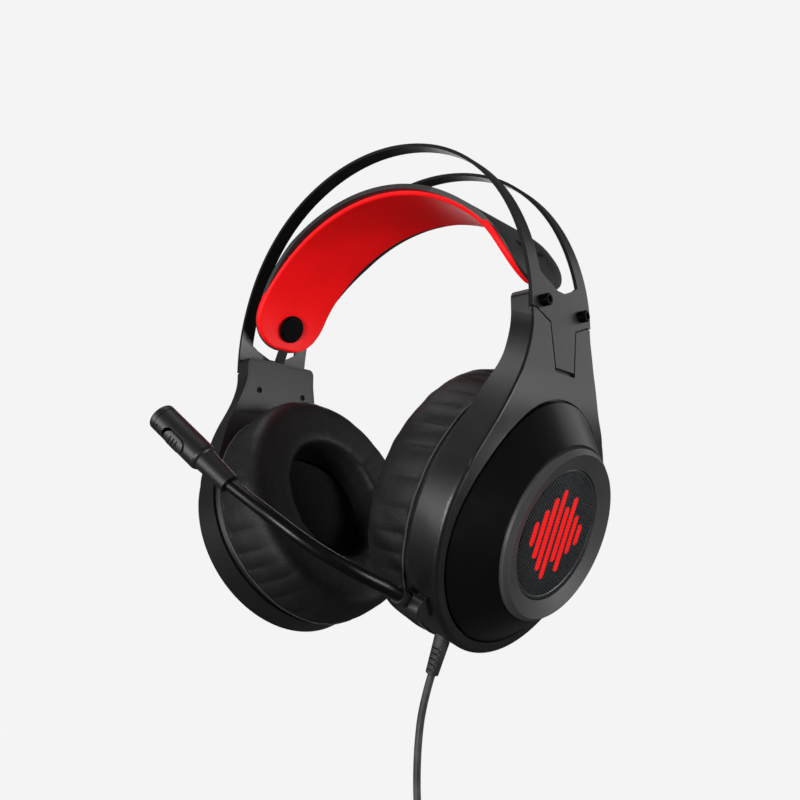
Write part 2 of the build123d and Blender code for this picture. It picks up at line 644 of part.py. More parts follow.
# ---------------------------------------------------------------- glossy cover, bezel, grille, light
def cover_form(inset):
    """Solid of the glossy cover: an upright foot and a slope up to a round top, drawn in by a wall."""
    foot = FACE_LEVEL + TRIM_LIFT
    form = extrude(Plane((0, 0, floor_front)) * trim_outline(-inset), amount=foot - floor_front)
    rims = [Plane((0, 0, foot)) * trim_outline(-inset),
            Plane((0, 0, COVER_TOP)) * dented_circle(cover_top_radius - inset, 0)]
    slope = loft(rims, ruled=True)
    return form + slope


cone_cover = cover_form(0) - Pos(0, 0, -COVER_WALL) * cover_form(COVER_WALL)
skirt_radius = BEZEL_INNER + BEZEL_SKIRT_WALL
cone_cover -= disc(skirt_radius + SLIP / 2, COVER_TOP - 6, COVER_TOP + 1)
save_pair(cup_plane.location * cone_cover, "cone_cover")

bezel_profile = make_face(Polyline(
    (BEZEL_INNER, board_low), (BEZEL_INNER, BEZEL_LIP), (BEZEL_RADIUS - BEZEL_CHAMFER, BEZEL_TOP),
    (BEZEL_RADIUS, BEZEL_TOP - BEZEL_CHAMFER), (BEZEL_RADIUS, COVER_TOP), (skirt_radius, COVER_TOP),
    (skirt_radius, board_low), close=True))
bezel = revolve(Plane.XZ * bezel_profile, axis=Axis.Z)
save_pair(cup_plane.location * bezel, "bezel")

disc_radius = BEZEL_INNER - SLIP / 2
save_pair(cup_plane.location * disc(disc_radius, guide_top, GRILLE_TOP), "grille")
save_pair(cup_plane.location * disc(disc_radius, board_top, guide_top), "light_guide")
save_pair(cup_plane.location * ring(disc_radius, POST_RADIUS * 2, board_low, board_top), "light_board")

# ---------------------------------------------------------------- floating ear housing
housing = disc(housing_radius, HOUSING_FRONT, HOUSING_BACK)
housing = chamfer(housing.edges().group_by(Axis.Z)[-1], HOUSING_CHAMFER)
floor_level = HOUSING_BACK - HOUSING_FLOOR
housing -= disc(housing_radius - HOUSING_WALL, HOUSING_FRONT - 1, floor_level)
baffle_screws = []
baffle = disc(housing_radius - HOUSING_WALL - SLIP, baffle_front, baffle_back)
baffle -= disc(DRIVER_CAN_RADIUS, baffle_front - 1, baffle_back + 1)
for turn in (90, 210, 330):
    spot = Rot(0, 0, turn) * Pos(BAFFLE_POST_RING, 0, 0)
    housing += spot * disc(BAFFLE_POST_RADIUS, baffle_back, floor_level + 0.5)
    screw = spot * (disc(BAFFLE_SCREW_HEAD, baffle_front - BAFFLE_SCREW_HEAD_THICK, baffle_front)
                    + disc(BAFFLE_SCREW_SHANK, baffle_front, floor_level - 1))
    baffle_screws.append(screw)
    housing -= spot * disc(BAFFLE_SCREW_SHANK, baffle_back - 1, floor_level - 1)
    baffle -= spot * disc(BAFFLE_SCREW_SHANK + SLIP / 2, baffle_front - 1, baffle_back + 1)
for index in range(BAFFLE_VENTS):
    turn = 30 + index * 360 / BAFFLE_VENTS
    vent = disc(BAFFLE_VENT_RADIUS, baffle_front - 1, baffle_back + 1)
    baffle -= Rot(0, 0, turn) * Pos(BAFFLE_VENT_RING, 0, 0) * vent

tilt_pins = []
for side in (1, -1):
    pin_place = Plane(origin=(0, 0, TILT_LEVEL), z_dir=(side, 0, 0)).location
    pin_end = SHELL_RADIUS - TILT_PIN_SKIN - SLIP
    pin = pin_place * disc(TILT_PIN_RADIUS, housing_radius - HOUSING_WALL - 2, pin_end)
    housing -= pin
    tilt_pins.append(shell_place * pin)
save_pair(shell_place * housing, "ear_housing")
save_pair(shell_place * baffle, "baffle")
for name, mover in (("left", lambda part: part), ("right", other_side)):
    save(Compound([mover(shell_place * screw) for screw in baffle_screws]), f"baffle_screws_{name}")
    save(Compound([mover(pin) for pin in tilt_pins]), f"tilt_pins_{name}")

driver = disc(DRIVER_RADIUS, baffle_back, baffle_back + DRIVER_RIM)
driver += disc(DRIVER_CAN_RADIUS, baffle_back, baffle_back + DRIVER_RIM + DRIVER_CAN_DEPTH)
driver += disc(MAGNET_RADIUS, baffle_back, floor_level - SLIP)
save_pair(shell_place * driver, "driver")

pad_ring = ring(housing_radius - SLIP, pad_ring_inner, pad_ring_front, pad_ring_back)
save_pair(shell_place * pad_ring, "pad_ring")


def cushion():
    """Padded ring: full outside, rounded front, flat back."""
    back_edge = pad_radius - PAD_BACK_INSET
    fullest = pad_back - PAD_FULLEST
    points = [(PAD_HOLE, pad_back), (back_edge, pad_back), (pad_radius, fullest),
              (pad_radius, pad_front), (PAD_HOLE, pad_front)]
    face = make_face(Polyline(*points, close=True))
    front = face.vertices().group_by(Axis.Y)[0].sort_by(Axis.X)
    face = fillet(front[-1], PAD_OUTER_FILLET)
    front = face.vertices().group_by(Axis.Y)[0].sort_by(Axis.X)
    face = fillet(front[0], PAD_INNER_FILLET)
    return revolve(Plane.XZ * face, axis=Axis.Z)


save_pair(shell_place * cushion(), "ear_pad")
cloth = disc(PAD_HOLE - SOFT_GAP, pad_back - CLOTH_THICK, pad_back)
save_pair(shell_place * cloth, "ear_cloth")


# ---------------------------------------------------------------- comfort strap
def strap_line(depth):
    """One half of the strap's line in XZ at a depth under its outer face: (arcs, centre of end arc)."""
    turn = radians(STRAP_CROWN_ANGLE)
    tip = radians(STRAP_END_ANGLE)
    top = STRAP_SHELL + STRAP_PAD
    centre = Vector(0, top - STRAP_CROWN_RADIUS)
    shoulder = centre + Vector(sin(turn), cos(turn)) * STRAP_CROWN_RADIUS
    end_centre = shoulder - Vector(sin(turn), cos(turn)) * STRAP_END_RADIUS

    def on(middle, radius, angle):
        return middle + Vector(sin(angle), cos(angle)) * (radius - depth)

    crown = ThreePointArc(on(centre, STRAP_CROWN_RADIUS, 0), on(centre, STRAP_CROWN_RADIUS, turn / 2),
                          on(centre, STRAP_CROWN_RADIUS, turn))
    end = ThreePointArc(on(end_centre, STRAP_END_RADIUS, turn),
                        on(end_centre, STRAP_END_RADIUS, (turn + tip) / 2),
                        on(end_centre, STRAP_END_RADIUS, tip))
    return [crown, end], end_centre


def strap_layer(depth_high, depth_low, inset):
    """One layer of the strap, cut to its paddle-ended outline."""
    high, _ = strap_line(depth_high)
    low, _ = strap_line(depth_low)
    tip = Line(high[-1] @ 1, low[-1] @ 1)
    crown = Line(high[0] @ 0, low[0] @ 0)
    half = extrude(Plane.XZ * make_face([*high, *low, tip, crown]), amount=STRAP_HALF + 2, both=True)
    tip_z = (high[-1] @ 1).Y
    points = [(STRAP_HALF - inset, 20), (STRAP_HALF - inset, STRAP_WAIST_HIGH),
              (STRAP_END_HALF - inset, STRAP_WAIST_LOW), (STRAP_END_HALF - inset, tip_z + inset)]
    mirrored = [(-y, z) for y, z in reversed(points)]
    outline = make_face(Polyline(*points, *mirrored, close=True))
    tips = outline.vertices().group_by(Axis.Y)[0]
    outline = fillet(tips, STRAP_TIP_CORNER - inset)
    half &= along_x(outline, -10, 120)
    return half + other_side(half)


_, end_centre = strap_line(0)


def strap_x(height, depth):
    """World X of the strap's end part at a height, at a depth under its outer face."""
    return end_centre.X + sqrt((STRAP_END_RADIUS - depth) ** 2 - (height - end_centre.Y) ** 2)


def strap_seat(height, depth):
    """A place on the strap's left end, its Z axis square to the strap and pointing outward."""
    x = strap_x(height, depth)
    normal = Vector(x - end_centre.X, 0, height - end_centre.Y)
    return Plane(origin=(x, 0, height), x_dir=(0, 1, 0), z_dir=normal).location


def elastic_outline(grow, extra_low):
    """The elastic band from inside the strap's end down into the hanger, as an XZ sketch."""
    near = STRAP_SHELL - ELASTIC_THICK - grow
    far = STRAP_SHELL + grow
    start = radians(ELASTIC_TOP_ANGLE - grow * 2)
    tip = radians(STRAP_END_ANGLE)

    def on(depth, angle):
        return end_centre + Vector(sin(angle), cos(angle)) * (STRAP_END_RADIUS - depth)

    half = ELASTIC_THICK / 2 + grow
    bend = HANGER_TOP - 0.4
    middle = (start + tip) / 2
    edges = [ThreePointArc(on(near, start), on(near, middle), on(near, tip)),
             Line(on(near, tip), (elastic_x + half, bend)),
             Line((elastic_x + half, bend), (elastic_x + half, extra_low)),
             Line((elastic_x + half, extra_low), (elastic_x - half, extra_low)),
             Line((elastic_x - half, extra_low), (elastic_x - half, bend)),
             Line((elastic_x - half, bend), on(far, tip)),
             ThreePointArc(on(far, tip), on(far, middle), on(far, start)),
             Line(on(far, start), on(near, start))]
    return make_face(edges)


strap_total = STRAP_SHELL + STRAP_PAD
strap_shell = strap_layer(0, STRAP_SHELL, 0)
strap_pad = strap_layer(STRAP_SHELL, strap_total, 0.4)
channel = extrude(Plane.XZ * elastic_outline(SLIP / 2, ELASTIC_FOOT), amount=ELASTIC_HALF + SLIP, both=True)
elastic = extrude(Plane.XZ * elastic_outline(0, ELASTIC_FOOT), amount=ELASTIC_HALF, both=True)
rivet_seat = strap_seat(RIVET_HEIGHT, strap_total)
rivet_gap = RIVET_RADIUS ** 2 / (2 * (STRAP_END_RADIUS - strap_total)) + SLIP / 4
rivet_shank = disc(RIVET_SHANK, -rivet_gap - 0.5, strap_total - 0.4)
rivet_bore = rivet_seat * disc(RIVET_SHANK + SLIP / 2, -5, strap_total - 0.3)
rivet_head = disc(RIVET_RADIUS, -RIVET_RISE - rivet_gap, -rivet_gap)
rivet_head = fillet(rivet_head.edges().group_by(Axis.Z)[0], RIVET_RISE * RIVET_ROUND_SHARE)
slot_seat = strap_seat(STRAP_SLOT_HEIGHT, 0)
slot = slot_seat * extrude(SlotOverall(STRAP_SLOT_LONG, STRAP_SLOT_TALL), amount=STRAP_SHELL, both=True)
hook = Pos(0, 0, -STRAP_SHELL / 2) * Box(HOOK_WIDE, STRAP_SLOT_TALL - 3 * SLIP, STRAP_SHELL - SLIP)
hook += Pos(0, -HOOK_TOOTH_OFFSET, HOOK_TOOTH_LEVEL) * Box(HOOK_WIDE, *HOOK_TOOTH)
hook = Pos(HOOK_OFFSET, 0, 0) * hook
for mover in (lambda part: part, other_side):
    strap_shell -= mover(channel)
    strap_shell -= mover(rivet_bore)
    strap_shell -= mover(slot)
    strap_pad -= mover(channel)
    strap_pad -= mover(rivet_bore)
save(strap_shell, "strap_shell")
save(strap_pad, "strap_pad")
save_pair(rivet_seat * (rivet_head + rivet_shank), "strap_rivet")
save_pair(slot_seat * hook, "strap_hook")
save_pair(elastic - rivet_bore, "elastic_band")

# ---------------------------------------------------------------- microphone
hinge_place = hub_place * Pos(hub_ring, 0, 0)
bracket_middle = Pos((bracket_inner + bracket_outer) / 2, 0, (BRACKET_LOW + BRACKET_HIGH) / 2)
bracket = Box(bracket_outer - bracket_inner, 2 * BRACKET_HALF, BRACKET_HIGH - BRACKET_LOW)
bracket = hub_place * bracket_middle * bracket
lug_low = HUB_HIGH + SLIP
bracket -= hinge_place * disc(HUB_RADIUS + SLIP + 0.1, BRACKET_LOW - 1, lug_low)
lug = disc(HUB_RADIUS, lug_low, LUG_HIGH)
lug_root = Pos(-HUB_RADIUS / 2 - LUG_ROOT, 0, (lug_low + LUG_HIGH) / 2)
lug += lug_root * Box(HUB_RADIUS, 2 * HUB_RADIUS, LUG_HIGH - lug_low)
bracket += hinge_place * lug
bracket -= shell_place * disc(bracket_inner, -10, 20)
bracket -= hinge_place * disc(HINGE_PIN_RADIUS, HUB_LOW - 2, LUG_HIGH - 1)
save(bracket, "mic_bracket")
save(hinge_place * disc(HINGE_PIN_RADIUS, HUB_LOW - 0.3, LUG_HIGH - 1.2), "mic_hinge_pin")

hub_local = Vector(-hub_ring * cos(radians(HUB_ANGLE)), -SHELL_DROP - hub_ring * sin(radians(HUB_ANGLE)))
hub_level = (HUB_LOW + HUB_HIGH) / 2
hub_centre = in_cup(hub_local.X, hub_local.Y, hub_level)
boom_points = [in_cup(hub_local.X + x, hub_local.Y + y, hub_level + z) for x, y, z in BOOM_STEPS]
boom_heading = (boom_points[0] - hub_centre).normalized()
hub = hinge_place * disc(HUB_RADIUS, HUB_LOW, HUB_HIGH)
hub += Plane(origin=hub_centre, z_dir=boom_heading).location * disc(STUB_RADIUS, 0, STUB_LENGTH)
hub -= hinge_place * disc(HINGE_PIN_RADIUS + PIN_PLAY, HUB_LOW - 1, HUB_HIGH + 1)
save(hub & (hinge_place * disc(2 * STUB_LENGTH, HUB_LOW - 1, HUB_HIGH)), "mic_hub")

boom_start = hub_centre + boom_heading * STUB_LENGTH
boom_route = [tuple(point) for point in (boom_start, *boom_points)]
boom, boom_path, boom_radii = tube_along(boom_route, BOOM_RADIUS, BOOM_ARC_SHARE)
save(boom, "mic_boom")

mic_axis = direction_in_cup(MIC_AXIS)
mic_side = direction_in_cup(MIC_FACE)
mic_side = (mic_side - mic_axis * mic_side.dot(mic_axis)).normalized()
boom_end = boom_points[-1]
boom_finish = (boom_end - boom_points[-2]).normalized()
neck_foot = boom_end - boom_finish * BOOM_SOCKET
boom_socket = disc(BOOM_RADIUS + SLIP / 4, -BOOM_SOCKET, BOOM_SOCKET + SLIP)
boom_socket = Plane(origin=neck_foot, z_dir=boom_finish).location * boom_socket
mic_place = Plane(origin=neck_foot, x_dir=mic_side, z_dir=mic_axis).location
shoulder = MIC_NECK_LENGTH
cap_low = shoulder + MIC_BODY_LENGTH
mic_tip = cap_low + MIC_CAP_LENGTH

neck = cone(MIC_NECK_RADIUS, MIC_SHOULDER_RADIUS, 0, shoulder)
capsule = disc(MIC_RADIUS, shoulder - MIC_SHOULDER_SINK, cap_low)
capsule = fillet(capsule.edges().group_by(Axis.Z)[0], MIC_SHOULDER_ROUND)
mic_body = neck + capsule
mic_body -= disc(MIC_RADIUS - MIC_WALL, shoulder + 1.5, cap_low + 1)
slot_middle = mic_tip - SLIDER_FROM_TIP
face_plane = Plane(origin=(0, 0, slot_middle), x_dir=(0, 0, 1), z_dir=(1, 0, 0))
slot_long = SLIDER_LONG + SLIDER_TRAVEL + SLIP
slider_low = MIC_RADIUS - MIC_WALL
mic_body -= extrude(face_plane * SlotOverall(slot_long, SLIDER_WIDE + SLIP), amount=MIC_RADIUS + 2)
mic_body -= Pos(MIC_RADIUS, 0, mic_tip - LAMP_FROM_TIP) * Rot(0, 90, 0) * Cylinder(LAMP_RADIUS, 1.0)
save(mic_place * mic_body - boom_socket, "mic_body")

cap = fillet(disc(MIC_RADIUS, cap_low + MIC_CAP_GROOVE, mic_tip).edges().group_by(Axis.Z)[-1], MIC_CAP_ROUND)
cap += disc(MIC_RADIUS - MIC_WALL - SLIP / 4, cap_low - MIC_CAP_SPIGOT, cap_low + MIC_CAP_GROOVE)
save(mic_place * cap, "mic_cap")
element_radius = MIC_RADIUS - MIC_WALL - SLIP
element_top = cap_low - MIC_CAP_SPIGOT - SLIP
save(mic_place * disc(element_radius, element_top - ELEMENT_THICK, element_top), "mic_element")

switch_long = SLIDER_LONG - 2
switch_board = Pos(SWITCH_BED - SWITCH_THICK, 0, slot_middle) * Box(SWITCH_THICK, SWITCH_WIDE, switch_long)
save(mic_place * switch_board, "mute_switch")
slider_disc = extrude(face_plane * SlotOverall(SLIDER_LONG, SLIDER_WIDE), amount=MIC_RADIUS + SLIDER_RISE)
slider = slider_disc & disc(MIC_RADIUS + SLIDER_RISE, slot_middle - 20, slot_middle + 20)
slider -= Pos(0, 0, slot_middle) * Box(2 * (slider_low - 1.4), 20, 40)
for step in SLIDER_RIBS:
    slider -= Pos(MIC_RADIUS + SLIDER_RISE, 0, slot_middle + step) * Box(*SLIDER_RIB_CUT)
slider -= Pos(0, 0, slot_middle) * Box(2 * (SWITCH_BED + SLIP), 20, 40)
slider = Pos(0, 0, -SLIDER_TRAVEL / 2) * slider
save(mic_place * slider, "mute_slider")

# ---------------------------------------------------------------- cable
strain_foot = strain_top + STRAIN_LENGTH
strain = cone(STRAIN_TOP_RADIUS, STRAIN_FOOT_RADIUS, strain_top - 2, strain_foot)
strain -= strain_place.inverse() * shell_place * disc(SHELL_RADIUS + SLIP / 4, -20, 30)
strain += disc(STRAIN_ROOT_RADIUS, strain_root + SLIP, strain_top + 2)
pitch = (STRAIN_LENGTH - STRAIN_SLOT_MARGIN) / STRAIN_SLOTS
for index in range(STRAIN_SLOTS):
    level = strain_top + STRAIN_SLOT_FIRST + index * pitch
    for side in (1, -1):
        slot_level = level + (pitch / 2 if side < 0 else 0)
        slot_place = Pos(0, side * (CABLE_RADIUS + STRAIN_SLOT_SKIN + STRAIN_TOP_RADIUS), slot_level)
        strain -= slot_place * Box(4 * STRAIN_TOP_RADIUS, 2 * STRAIN_TOP_RADIUS, pitch * STRAIN_SLOT_SHARE)
save(strain_place * strain, "strain_relief")

cable_start = in_cup(-STRAIN_FORWARD, -strain_foot, STRAIN_LEVEL)
cable_points = [cable_start + direction_in_cup((0, -1, 0)) * CABLE_LEAD]
cable_points += [cable_start + Vector(*step) for step in CABLE_STEPS]
cable_route = [tuple(point) for point in (cable_start, *cable_points)]
cable, cable_path, cable_radii = tube_along(cable_route, CABLE_RADIUS, BOOM_ARC_SHARE)
save(cable, "cable")

hank_heading = (cable_points[-1] - cable_points[-2]).normalized()
entry_place = Plane(origin=cable_points[-1], x_dir=(1, 0, 0), z_dir=hank_heading).location
hank_place = entry_place * Pos(-HANK_ENTRY[0], -HANK_ENTRY[1], 0)


def hank_outline(fold_half):
    """The hank seen from one side: full at its folds and drawn in under the tie."""
    corners = []
    edges = []
    tie_low = (HANK_LONG - TIE_TALL) / 2
    for level, sign in ((0, 1), (HANK_LONG, -1)):
        end = (fold_half - HANK_CORNER, level)
        side = (fold_half, level + sign * HANK_CORNER)
        full = (fold_half, level + sign * HANK_FOLD_LEVEL)
        waist = (HANK_WAIST, level + sign * tie_low)
        edges += [Line(end, side), Line(side, full), Spline(full, waist, tangents=[(0, sign), (0, sign)])]
        corners += [end, waist]
    edges.append(Line(corners[1], corners[3]))
    lids = [Line(corners[0], (-corners[0][0], 0)), Line(corners[2], (-corners[2][0], HANK_LONG))]
    return make_face(edges + [mirror(edge, about=Plane.YZ) for edge in edges] + lids)


hank = extrude(Plane.XZ * hank_outline(HANK_FOLD_WIDE), amount=HANK_FOLD_DEEP, both=True)
hank &= Rot(0, 0, 90) * extrude(Plane.XZ * hank_outline(HANK_FOLD_DEEP), amount=HANK_FOLD_WIDE, both=True)
tie_half = HANK_WAIST + TIE_THICK
tie = Pos(0, 0, HANK_LONG / 2) * Box(2 * tie_half, 2 * tie_half, TIE_TALL)
tie = fillet(tie.edges().filter_by(Axis.Z), TIE_THICK * 2)
save(hank_place * hank, "cable_hank")
tie -= Pos(0, 0, HANK_LONG / 2) * Box(2 * HANK_WAIST, 2 * HANK_WAIST, TIE_TALL + 1)
save(hank_place * tie, "cable_tie")

plug_neck = cone(CABLE_RADIUS + PLUG_NECK_WALL, PLUG_NECK_RADIUS, 0, PLUG_NECK)
plug_neck += disc(CABLE_RADIUS + PLUG_NECK_WALL, -PLUG_HANG, 0)
plug_shell = plug_neck + fillet(disc(PLUG_RADIUS, PLUG_NECK, PLUG_NECK + PLUG_BODY).edges(), PLUG_ROUND)
jack_root = PLUG_NECK + PLUG_BODY
jack_tip = jack_root + JACK_LENGTH - JACK_TIP
jack = disc(JACK_RADIUS, jack_root, jack_tip)
jack += cone(JACK_RADIUS, JACK_RADIUS * JACK_TIP_SHARE, jack_tip, jack_root + JACK_LENGTH)
bands = []
for index in range(JACK_BANDS):
    low = jack_tip - JACK_BAND_FIRST - index * JACK_BAND_STEP
    bands.append(ring(JACK_RADIUS, JACK_RADIUS - JACK_BAND_DEPTH, low - JACK_BAND, low))
    jack -= bands[-1]
plug_place = hank_place * Pos(*PLUG_PLACE, HANK_LONG + PLUG_HANG)
save(plug_place * plug_shell, "plug_shell")
save(plug_place * jack, "plug_jack")
save(Compound([plug_place * band for band in bands]), "plug_bands")

# ---------------------------------------------------------------- figures for the record
cable_length = cable_path.length
cable_volume = pi * CABLE_RADIUS ** 2 * cable_length
print("boom radii", [round(r, 1) for r in boom_radii])
print("cable radii", [round(r, 1) for r in cable_radii], "length", round(cable_length, 2),
      "volume", round(cable.volume, 2), "section x length", round(cable_volume, 2))
print("strap tip", strap_line(0)[0][-1] @ 1)
print("hinge centre", hub_centre, "cup out", cup_out)
print("mic axis", mic_axis, "slider side", mic_side)
print("plug foot", plug_place.position, "jack axis", hank_heading)
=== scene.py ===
"""Gaming headset: finishes, soft goods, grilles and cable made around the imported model.

Metres, +Z up, the wearer looks along -Y and +X is the wearer's left, where the microphone and the
cable are.  The file is laid out as an add-on with one operator for each group of pieces, and it is
run as a script.
"""
import math

import bmesh
import bpy
import numpy as np
from mathutils import Matrix, Vector


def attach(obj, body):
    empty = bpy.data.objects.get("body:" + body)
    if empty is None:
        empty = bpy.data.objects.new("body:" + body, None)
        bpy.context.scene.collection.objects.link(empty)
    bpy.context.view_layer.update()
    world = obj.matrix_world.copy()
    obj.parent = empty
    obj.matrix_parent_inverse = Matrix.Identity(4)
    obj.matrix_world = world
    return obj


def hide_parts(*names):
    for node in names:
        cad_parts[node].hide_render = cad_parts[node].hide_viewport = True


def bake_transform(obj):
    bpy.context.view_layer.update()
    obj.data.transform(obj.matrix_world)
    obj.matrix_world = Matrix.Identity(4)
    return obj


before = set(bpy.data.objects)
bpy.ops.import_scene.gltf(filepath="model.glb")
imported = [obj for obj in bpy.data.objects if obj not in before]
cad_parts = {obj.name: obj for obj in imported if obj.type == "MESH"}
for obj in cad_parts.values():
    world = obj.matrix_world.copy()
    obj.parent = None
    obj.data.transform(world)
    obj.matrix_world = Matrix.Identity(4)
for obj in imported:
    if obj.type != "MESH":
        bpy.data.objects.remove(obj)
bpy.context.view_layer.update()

bl_info = {
    "name": "Gaming Headset",
    "version": (1, 0, 0),
    "blender": (4, 5, 0),
    "location": "View3D > Sidebar > Headset",
    "description": "Makes the soft goods, grilles, cable and finishes of a gaming headset",
    "category": "Object",
}

MM = 0.001

# the cup's own frame: X to the rear, Y up along the cup, Z outward along its axis
CUP_X = 57.2 * MM
CUP_Z = -134.7 * MM
CUP_TILT = math.radians(21.5)
SHELL_DROP = 1.0 * MM
SIDES = (("left", 1), ("right", -1))

# the comfort strap's line: outer face over the head, then a tighter arc to each tip
STRAP_RADIUS = 90.0 * MM
STRAP_TURN = math.radians(43.0)
STRAP_END_RADIUS = 52.0 * MM
STRAP_TIP = math.radians(80.5)
STRAP_SHELL = 1.9 * MM
STRAP_TOTAL = 3.4 * MM
RIVET_HEIGHT = -39.6 * MM

# the cable's route, as in the part's source
CABLE_RADIUS = 1.4 * MM
CABLE_ROUTE = [(0.03879, -0.0213, -0.19235), (0.03439, -0.0213, -0.20352), (0.03189, -0.0211, -0.21755),
               (0.03069, -0.0204, -0.23215), (0.03089, -0.0196, -0.24515)]
HANK_ENTRY = (-4.3 * MM, -10.6 * MM)
HANK_LONG = 72.0 * MM

# the ear cushion: a little narrower than a circle, a little taller, and higher than the shell
PAD_WIDE = 0.99
PAD_TALL = 1.045
PAD_RISE = 0.4 * MM
SEAM_RADIUS = 49.62 * MM
SEAM_LEVEL = -3.95 * MM

# the grille's sheet: its outer face along the cup's axis
SHEET_LEVEL = 23.62 * MM
SHEET_THICK = 0.45 * MM

# the view and the stage
CAMERA_PLACE = (0.21911, -0.2432, -0.14566)
CAMERA_YAW, CAMERA_PITCH, CAMERA_ROLL = math.radians(41.46), math.radians(10.52), math.radians(0.17)
CAMERA_LENS, CAMERA_SENSOR = 34.1, 36.0
STAGE_MIDDLE = (0.0, 0.0, -0.09)
FLOOR_LEVEL = -0.375
LAMPS = (  # name, place, width, power
    ("key", (0.95, 0.52, -0.14), 0.45, 7.5), ("sheen", (0.50, 0.95, 0.22), 0.8, 1.5),
    ("front", (-0.35, -1.0, -0.08), 0.55, 6.5), ("low", (0.25, -0.80, -0.27), 0.18, 5.5),
    ("rim", (-0.75, 0.85, 0.38), 0.6, 1.6), ("top", (-0.25, -0.1, 0.95), 0.7, 5.0),
)


# ---- surfaces

def round_angles(count):
    """Angles spaced evenly round a circle."""
    return np.linspace(0, 2 * math.pi, count, endpoint=False)


def join(*parts):
    """Coordinates put together as points."""
    return np.stack(np.broadcast_arrays(*parts), axis=-1)


def quarter_round(share):
    """Height of a quarter circle of radius 1 at a share of the way in from its edge, and 1 past it."""
    return np.sqrt(1 - (1 - np.clip(share, 0, 1)) ** 2)


def bar_outline(count, half_width, half_depth, straightness):
    """Outline of a flat bar with rounded edges: the cosine and the sine round a turn, each raised to
    a power under one, which straightens the sides."""
    cosine, sine = np.cos(round_angles(count)), np.sin(round_angles(count))
    return (np.sign(cosine) * np.abs(cosine) ** straightness * half_width,
            np.sign(sine) * np.abs(sine) ** 0.5 * half_depth)


def smooth_line(points, count, closed=False):
    """A smooth line through a few points: each stretch is a cubic whose slopes at its two ends are
    half the chord between the neighbouring points. Returns count points, evenly spaced in parameter."""
    points = np.asarray(points, float)
    number = len(points)
    stretches = number if closed else number - 1
    along = np.linspace(0, stretches, count, endpoint=not closed)
    index = np.minimum(along.astype(int), stretches - 1)
    part = (along - index)[:, None]

    def at(shift):
        place = index + shift
        return points[place % number] if closed else points[np.clip(place, 0, number - 1)]

    before, start, end, after = at(-1), at(0), at(1), at(2)
    return 0.5 * (2 * start + (end - before) * part
                  + (2 * before - 5 * start + 4 * end - after) * part ** 2
                  + (3 * start - before - 3 * end + after) * part ** 3)


def grid_quads(rows, columns, wrap_rows=False, wrap_columns=False):
    """Four-cornered faces over a grid of points numbered row by row."""
    row = np.arange(rows if wrap_rows else rows - 1)[:, None]
    column = np.arange(columns if wrap_columns else columns - 1)[None, :]
    next_row = (row + 1) % rows
    next_column = (column + 1) % columns
    return join(row * columns + column, row * columns + next_column,
                next_row * columns + next_column, next_row * columns + column).reshape(-1, 4)


def thicken(points, quads, depth):
    """A sheet given a thickness: a second copy of it moved by depth, and a wall along every edge
    that only one face uses."""
    number = len(points)
    first = quads.reshape(-1)
    second = np.roll(quads, -1, axis=1).reshape(-1)
    lone = ~np.isin(first * number + second, second * number + first)
    walls = join(second[lone], first[lone], first[lone] + number, second[lone] + number)
    return (np.concatenate([points, points + depth]),
            np.concatenate([quads, quads[:, ::-1] + number, walls]))


def mesh_piece(name, points, faces, material, smooth=True, uv=None):
    """An object at the origin whose mesh has the given points, faces and material, with its faces
    outward."""
    mesh = bpy.data.meshes.new(name)
    mesh.from_pydata(np.asarray(points, float).tolist(), [], [list(face) for face in faces])
    shell = bmesh.new()
    shell.from_mesh(mesh)
    bmesh.ops.recalc_face_normals(shell, faces=shell.faces)
    shell.to_mesh(mesh)
    shell.free()
    mesh.polygons.foreach_set("use_smooth", [smooth] * len(mesh.polygons))
    if uv is not None:
        corners = np.empty(len(mesh.loops), dtype=np.int32)
        mesh.loops.foreach_get("vertex_index", corners)
        layer = mesh.uv_layers.new(name="along")
        layer.data.foreach_set("uv", uv.reshape(-1, 2)[corners].reshape(-1))
    mesh.materials.append(material)
    mesh.update()
    piece = bpy.data.objects.new(name, mesh)
    bpy.context.scene.collection.objects.link(piece)
    return piece


def loft(name, rings, material, uv=None):
    """A closed skin over rings of points: quads between neighbouring rings and a face on each end."""
    rows, columns = rings.shape[:2]
    faces = grid_quads(rows, columns, wrap_columns=True).tolist()
    faces.append(list(range(columns)))
    faces.append(list(range((rows - 1) * columns, rows * columns)))
    return mesh_piece(name, rings.reshape(-1, 3), faces, material, uv=uv)


def ring_piece(name, rings, material, uv=None):
    """A closed skin over a grid of points that joins up with itself both ways."""
    faces = grid_quads(*rings.shape[:2], wrap_rows=True, wrap_columns=True)
    return mesh_piece(name, rings.reshape(-1, 3), faces, material, uv=uv)


def in_cup(local, side):
    """Points of a cup's own frame placed in the model: side is 1 for the left cup, and -1 mirrors
    them to the right one."""
    rear, up, out = local[..., 0], local[..., 1], local[..., 2]
    across = CUP_X + out * math.cos(CUP_TILT) + up * math.sin(CUP_TILT)
    height = CUP_Z - out * math.sin(CUP_TILT) + up * math.cos(CUP_TILT)
    return join(side * across, rear, height)


def round_axis(reach, angle, level, share=1.0):
    """Points of a cup's own frame at a reach and an angle round its axis, and at a level along it.
    With the full share they follow the cushion's oval, and with none the shell's circle."""
    wide, tall = 1 + (PAD_WIDE - 1) * share, 1 + (PAD_TALL - 1) * share
    return join(reach * np.cos(angle) * wide,
                reach * np.sin(angle) * tall - SHELL_DROP + PAD_RISE * share, level)


def waves(draw, low, high, angle, counts, shifts=(0.0, 0.0, 0.0, 0.0)):
    """Sum of sines round the axis, one for each count, whose heights and starts are drawn."""
    return sum(draw.uniform(low, high) * np.sin(count * angle + draw.uniform(0, 6.28) + shift)
               for count, shift in zip(counts, shifts))


